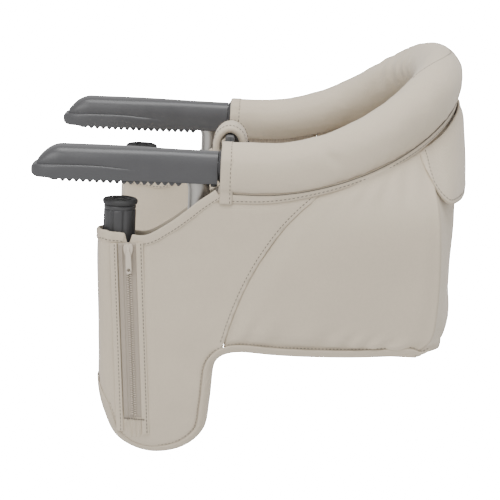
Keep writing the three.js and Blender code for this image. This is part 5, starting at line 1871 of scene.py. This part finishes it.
@dataclass(frozen=True)
class WaistBelt:
    """Buckle in the crotch loop and the webbing on both sides of it."""

    middle: float = 14.5
    x: float = 24.0
    half_height: float = 13.0
    half_sheet: float = 5.0
    webbing_half: float = 12.5
    webbing_sheet: float = 1.6

    def block(self, near: float, far: float, inset: float, waist: float) -> Shape:
        """Rounded block of the buckle, drawn in at its waist."""
        rows = 16

        def place(i: int, j: int) -> Vector:
            """Point of the block's skin."""
            a = 2 * math.pi * i / 32
            share = j / rows
            pinch = 1 - waist * math.sin(math.pi * share) ** 2
            end = 1 - 0.12 * (2 * share - 1) ** 8
            return Vector((
                self.x + (self.half_sheet - inset) * end * power(math.cos(a), 0.5),
                lerp(near, far, share),
                self.middle + (self.half_height - inset) * pinch * end * power(math.sin(a), 0.4),
            ))

        return tube_shape(32, rows, place)

    def belt_line(self, sign: float, start: float) -> list[Vector]:
        """Middle line of a webbing, from the buckle to the side panel."""
        def on_panel(u: float, away: float) -> Vector:
            """Place just inside the side panel."""
            p = SEAT.side_surface(u, 0.62) + Vector((0, 6.0 + away + self.webbing_sheet / 2, 0))
            return Vector((p.x, p.y if sign < 0 else -p.y, p.z))

        anchor, approach = on_panel(0.87, 1.2), on_panel(0.79, 3.2)
        spots = [
            Vector((self.x, start, self.middle)),
            Vector((self.x + 6, start + sign * 14, self.middle - 6)),
            Vector((self.x + 50, sign * 80, lerp(self.middle, approach.z, 0.45))),
            Vector((self.x + 106, sign * 122, approach.z + 14)),
            approach,
            anchor,
        ]
        return smooth_line(spots, 80, 5.0)

    def build(self) -> None:
        """Makes the buckle and both webbings."""
        socket = make_piece("buckle_socket_body", self.block(-30.0, 0.0, 0.0, 0.08), BUCKLE_GREY, 45)
        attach(socket, "seat")
        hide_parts("buckle_socket")
        STRAP.squash(socket)
        tongue = make_piece("buckle_tongue_body", self.block(0.3, 16.0, 0.0, 0.0), BUCKLE_GREY, 45)
        prongs = make_piece("buckle_tongue_prong", self.block(-12.0, 1.0, 2.4, 0.0), BUCKLE_GREY, 45)
        for piece in (tongue, prongs):
            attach(piece, "buckle_tongue")
            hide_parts("buckle_tongue")
            STRAP.squash(piece)
        thick = self.webbing_sheet / 2
        section = [(self.webbing_half * power(math.cos(a), 0.25), thick * power(math.sin(a), 0.8))
                   for a in angles(20)]
        for side, start in ((Side.LEFT, -29.0), (Side.RIGHT, 15.0)):
            path = self.belt_line(side.sign, start)
            along = tangents_of(path)
            outs = [Vector((t.y, -t.x, 0)).normalized() for t in along]
            shape = sweep_shape(path, outs, lambda j: section)
            piece = make_piece(side.of("belt_webbing"), shape, WEBBING, 60)
            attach(piece, "seat")
            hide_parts(side.of("belt"))
            side.of("fold")
            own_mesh(piece)


@dataclass(frozen=True)
class BackPocket:
    """Storage pocket on the back panel with its rounded flap."""

    sheet: float = 6.0
    first: float = 2 / 12
    top: float = 1 / 9
    low: float = 0.27
    flap_low: float = -8.5
    corner: float = 36.0
    flap_sheet: float = 2.4
    flap_width: float = 400.0
    corner_power: float = 1.5
    columns: int = 72
    rows: int = 26

    def around(self, v: float, proud: float) -> list[Vector]:
        """Points round the seat at one height, from its left side across the back to its right side."""
        seam = SEAT.rear_corner(v)
        half = [
            seam + Vector((-8.5, -1.6 - proud, 0)),
            seam + Vector((-2.0, -1.4 - proud, 0)),
            SEAT.back_surface(0.012, v) + Vector((0.35, -0.45, 0)) * (self.sheet + proud),
            SEAT.back_surface(0.05, v) + Vector((0.8, -0.3, 0)) * (self.sheet + proud),
        ]
        out = Vector((self.sheet + 0.4 + proud, 0, 0))
        half += [SEAT.back_surface(u, v) + out for u in (0.12, 0.22, 0.34, 0.5)]
        return [*half, *[Vector((p.x, -p.y, p.z)) for p in reversed(half[:-1])]]

    def flap_grid(self) -> list[list[Vector]]:
        """Rows of the flap's outer face, from its top down, each with the same columns."""
        heights = [k / 30 * 0.4 for k in range(31)]
        lines = []
        for v in heights:
            proud = self.flap_sheet + 1.5 * math.sin(math.pi * min(1.0, v / 0.36)) ** 0.8
            spots = self.around(v, proud - 4.5 * (1 - ease(v / 0.05)))
            lines.append(smooth_line(spots, 120, 1.0))
        grid = []
        for j in range(self.rows + 1):
            row = []
            for i in range(self.columns + 1):
                share = i / self.columns
                rail = [line[round(share * (len(line) - 1))] for line in lines]
                reach = min(share, 1 - share) * self.flap_width
                short = 1 - min(1.0, reach / self.corner)
                bend = (1 - short ** self.corner_power) ** (1 / self.corner_power)
                foot = lerp(rail[0].z - 4, self.flap_low, bend)
                level = lerp(rail[0].z, foot, j / self.rows)
                row.append(self.at_level(rail, level))
            grid.append(row)
        return grid

    def at_level(self, rail: Line, level: float) -> Vector:
        """Place on a falling line of points where it has a level."""
        for a, b in zip(rail, rail[1:]):
            if b.z <= level:
                return a.lerp(b, min(1.0, max(0.0, (a.z - level) / max(1e-6, a.z - b.z))))
        return rail[-1].copy()

    def flap(self) -> None:
        """The flap and its stitches."""
        grid = self.flap_grid()
        shape = grid_shape(self.columns, self.rows, lambda i, j: grid[j][i])
        face_out(shape, lambda face: face.normal.x)
        bmesh.ops.smooth_vert(shape, verts=shape.verts, factor=0.5,
                              use_axis_x=True, use_axis_y=True, use_axis_z=True)
        shape.normal_update()
        area = area_of(shape)
        shape.verts.ensure_lookup_table()
        wide = self.columns + 1
        edge = [j * wide + 2 for j in range(2, self.rows - 1)]
        edge += [(self.rows - 2) * wide + i for i in range(2, wide - 2)]
        edge += [j * wide + wide - 3 for j in range(self.rows - 2, 1, -1)]
        row = [shape.verts[k].co + shape.verts[k].normal * 0.1 for k in edge]
        outs = [shape.verts[k].normal.copy() for k in edge]
        piece = make_piece("pocket_flap_cloth", shape, CLOTH, 70)
        thicken(piece, self.flap_sheet, LINING)
        self.hang(piece)
        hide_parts("pocket_flap")
        self.hang(make_piece("pocket_flap_stitches", StitchGauge().sewn(row, outs), THREAD_AND_SHADE))

    def hang(self, piece: Piece) -> None:
        """Bakes a piece's placement into its mesh."""
        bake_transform(piece)

    def pocket(self) -> None:
        """The pocket below the flap, open at its top."""
        columns, rows = 40, 14

        def place(i: int, j: int) -> Vector:
            """Point of the pocket, sewn down at its sides and its foot."""
            u = lerp(self.first, 1 - self.first, i / columns)
            v = lerp(self.top, self.low, j / rows)
            edge = min(i / columns, 1 - i / columns, 1 - j / rows)
            return SEAT.back_surface(u, v) + Vector((lerp(0.6, self.sheet, ease(edge / 0.08)), 0, 0))

        shape = grid_shape(columns, rows, place)
        face_out(shape, lambda face: face.normal.x)
        area = area_of(shape)
        piece = make_piece("back_pocket_cloth", shape, CLOTH, 70)
        thicken(piece, 1.2)
        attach(piece, "seat")
        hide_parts("back_pocket")

    def build(self) -> None:
        """Makes the pocket and its flap."""
        self.pocket()
        self.flap()


SLEEVE = Sleeve()
STRAP = CrotchStrap()


@dataclass(frozen=True)
class Studio:
    """Camera at the photograph's angle, soft light and a pale floor."""

    elevation: float = math.radians(11.978)
    roll: float = math.radians(2.638)
    yaw: float = math.radians(-0.569)
    distance: float = 2.352876
    focal_pixels: float = 2350.03
    image_width: float = 500.0
    target: Triple = (0.048303, 0.0, -0.092357)
    floor_level: float = -3.0
    floor_half: float = 42000.0
    air_strength: float = 0.75

    def camera(self) -> None:
        """Puts up the camera."""
        lens = bpy.data.cameras.new("photo_camera")
        lens.sensor_width = 36.0
        lens.lens = lens.sensor_width * self.focal_pixels / self.image_width
        lens.clip_end = 50.0
        flat = math.cos(self.elevation)
        view = Vector((math.sin(self.yaw) * flat, math.cos(self.yaw) * flat, -math.sin(self.elevation)))
        level = Vector((math.cos(self.yaw), -math.sin(self.yaw), 0))
        rise = level.cross(view)
        right = level * math.cos(self.roll) + rise * math.sin(self.roll)
        up = rise * math.cos(self.roll) - level * math.sin(self.roll)
        camera = bpy.data.objects.new("photo_camera", lens)
        place = Matrix((right, up, -view)).transposed().to_4x4()
        place.translation = Vector(self.target) - view * self.distance
        camera.matrix_world = place
        bpy.context.scene.collection.objects.link(camera)
        bpy.context.scene.camera = camera

    def lamp(self, name: str, place: Triple, power_w: float, size: float) -> None:
        """Adds a soft square lamp that faces the chair."""
        light = bpy.data.lights.new(name, "AREA")
        light.energy = power_w
        light.size = size
        lamp = bpy.data.objects.new(name, light)
        lamp.location = place
        lamp.rotation_euler = (Vector(self.target) - Vector(place)).to_track_quat("-Z", "Y").to_euler()
        bpy.context.scene.collection.objects.link(lamp)

    def build(self) -> None:
        """Makes the camera, the lamps, the surrounding light and the floor."""
        self.camera()
        self.lamp("top_lamp", (0.1, -0.5, 2.2), 62.0, 1.8)
        self.lamp("front_lamp", (-1.2, -2.1, 1.0), 26.0, 1.4)
        world = bpy.data.worlds.new("studio_air")
        world.use_nodes = True
        air = world.node_tree.nodes["Background"]
        air.inputs["Color"].default_value = (1.0, 1.0, 1.0, 1)
        air.inputs["Strength"].default_value = self.air_strength
        bpy.context.scene.world = world
        shape = bmesh.new()
        bmesh.ops.create_grid(shape, x_segments=8, y_segments=8, size=self.floor_half)
        bmesh.ops.translate(shape, vec=(0, 0, self.floor_level / MM), verts=shape.verts)
        make_piece("studio_floor", shape, FLOOR)


def dress_inner_nodes() -> None:
    """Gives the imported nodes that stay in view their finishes."""
    stays = {"pivot_hub": STEEL, "shell_screw": STEEL, "clamp_nut": STEEL, "clamp_spindle": STEEL,
             "lock_spring": STEEL, "pivot_bush": CLAMP_CHARCOAL}
    named = {side.of(stem): finish for side in Side for stem, finish in stays.items()}
    named["rim_tube"] = ALUMINIUM
    for name, finish in named.items():
        node = bpy.data.objects[name]
        node.data.materials.clear()
        node.data.materials.append(finish.material())
        LOG.info("node %s keeps its shape", name)


def main() -> None:
    """Builds the studio and every part of the chair in order."""
    logging.basicConfig(level=logging.INFO, format="%(message)s")
    Studio().build()
    dress_inner_nodes()
    for part in (PaddedRim(), SLEEVE, SeatPanels(), HookTube(), MouldedArm(), PivotParts(), ScrewClamp(),
                 Zip(), STRAP, WaistBelt(), BackPocket()):
        LOG.info("building %s", type(part).__name__)
        part.build()


if __name__ == "__main__":
    main()
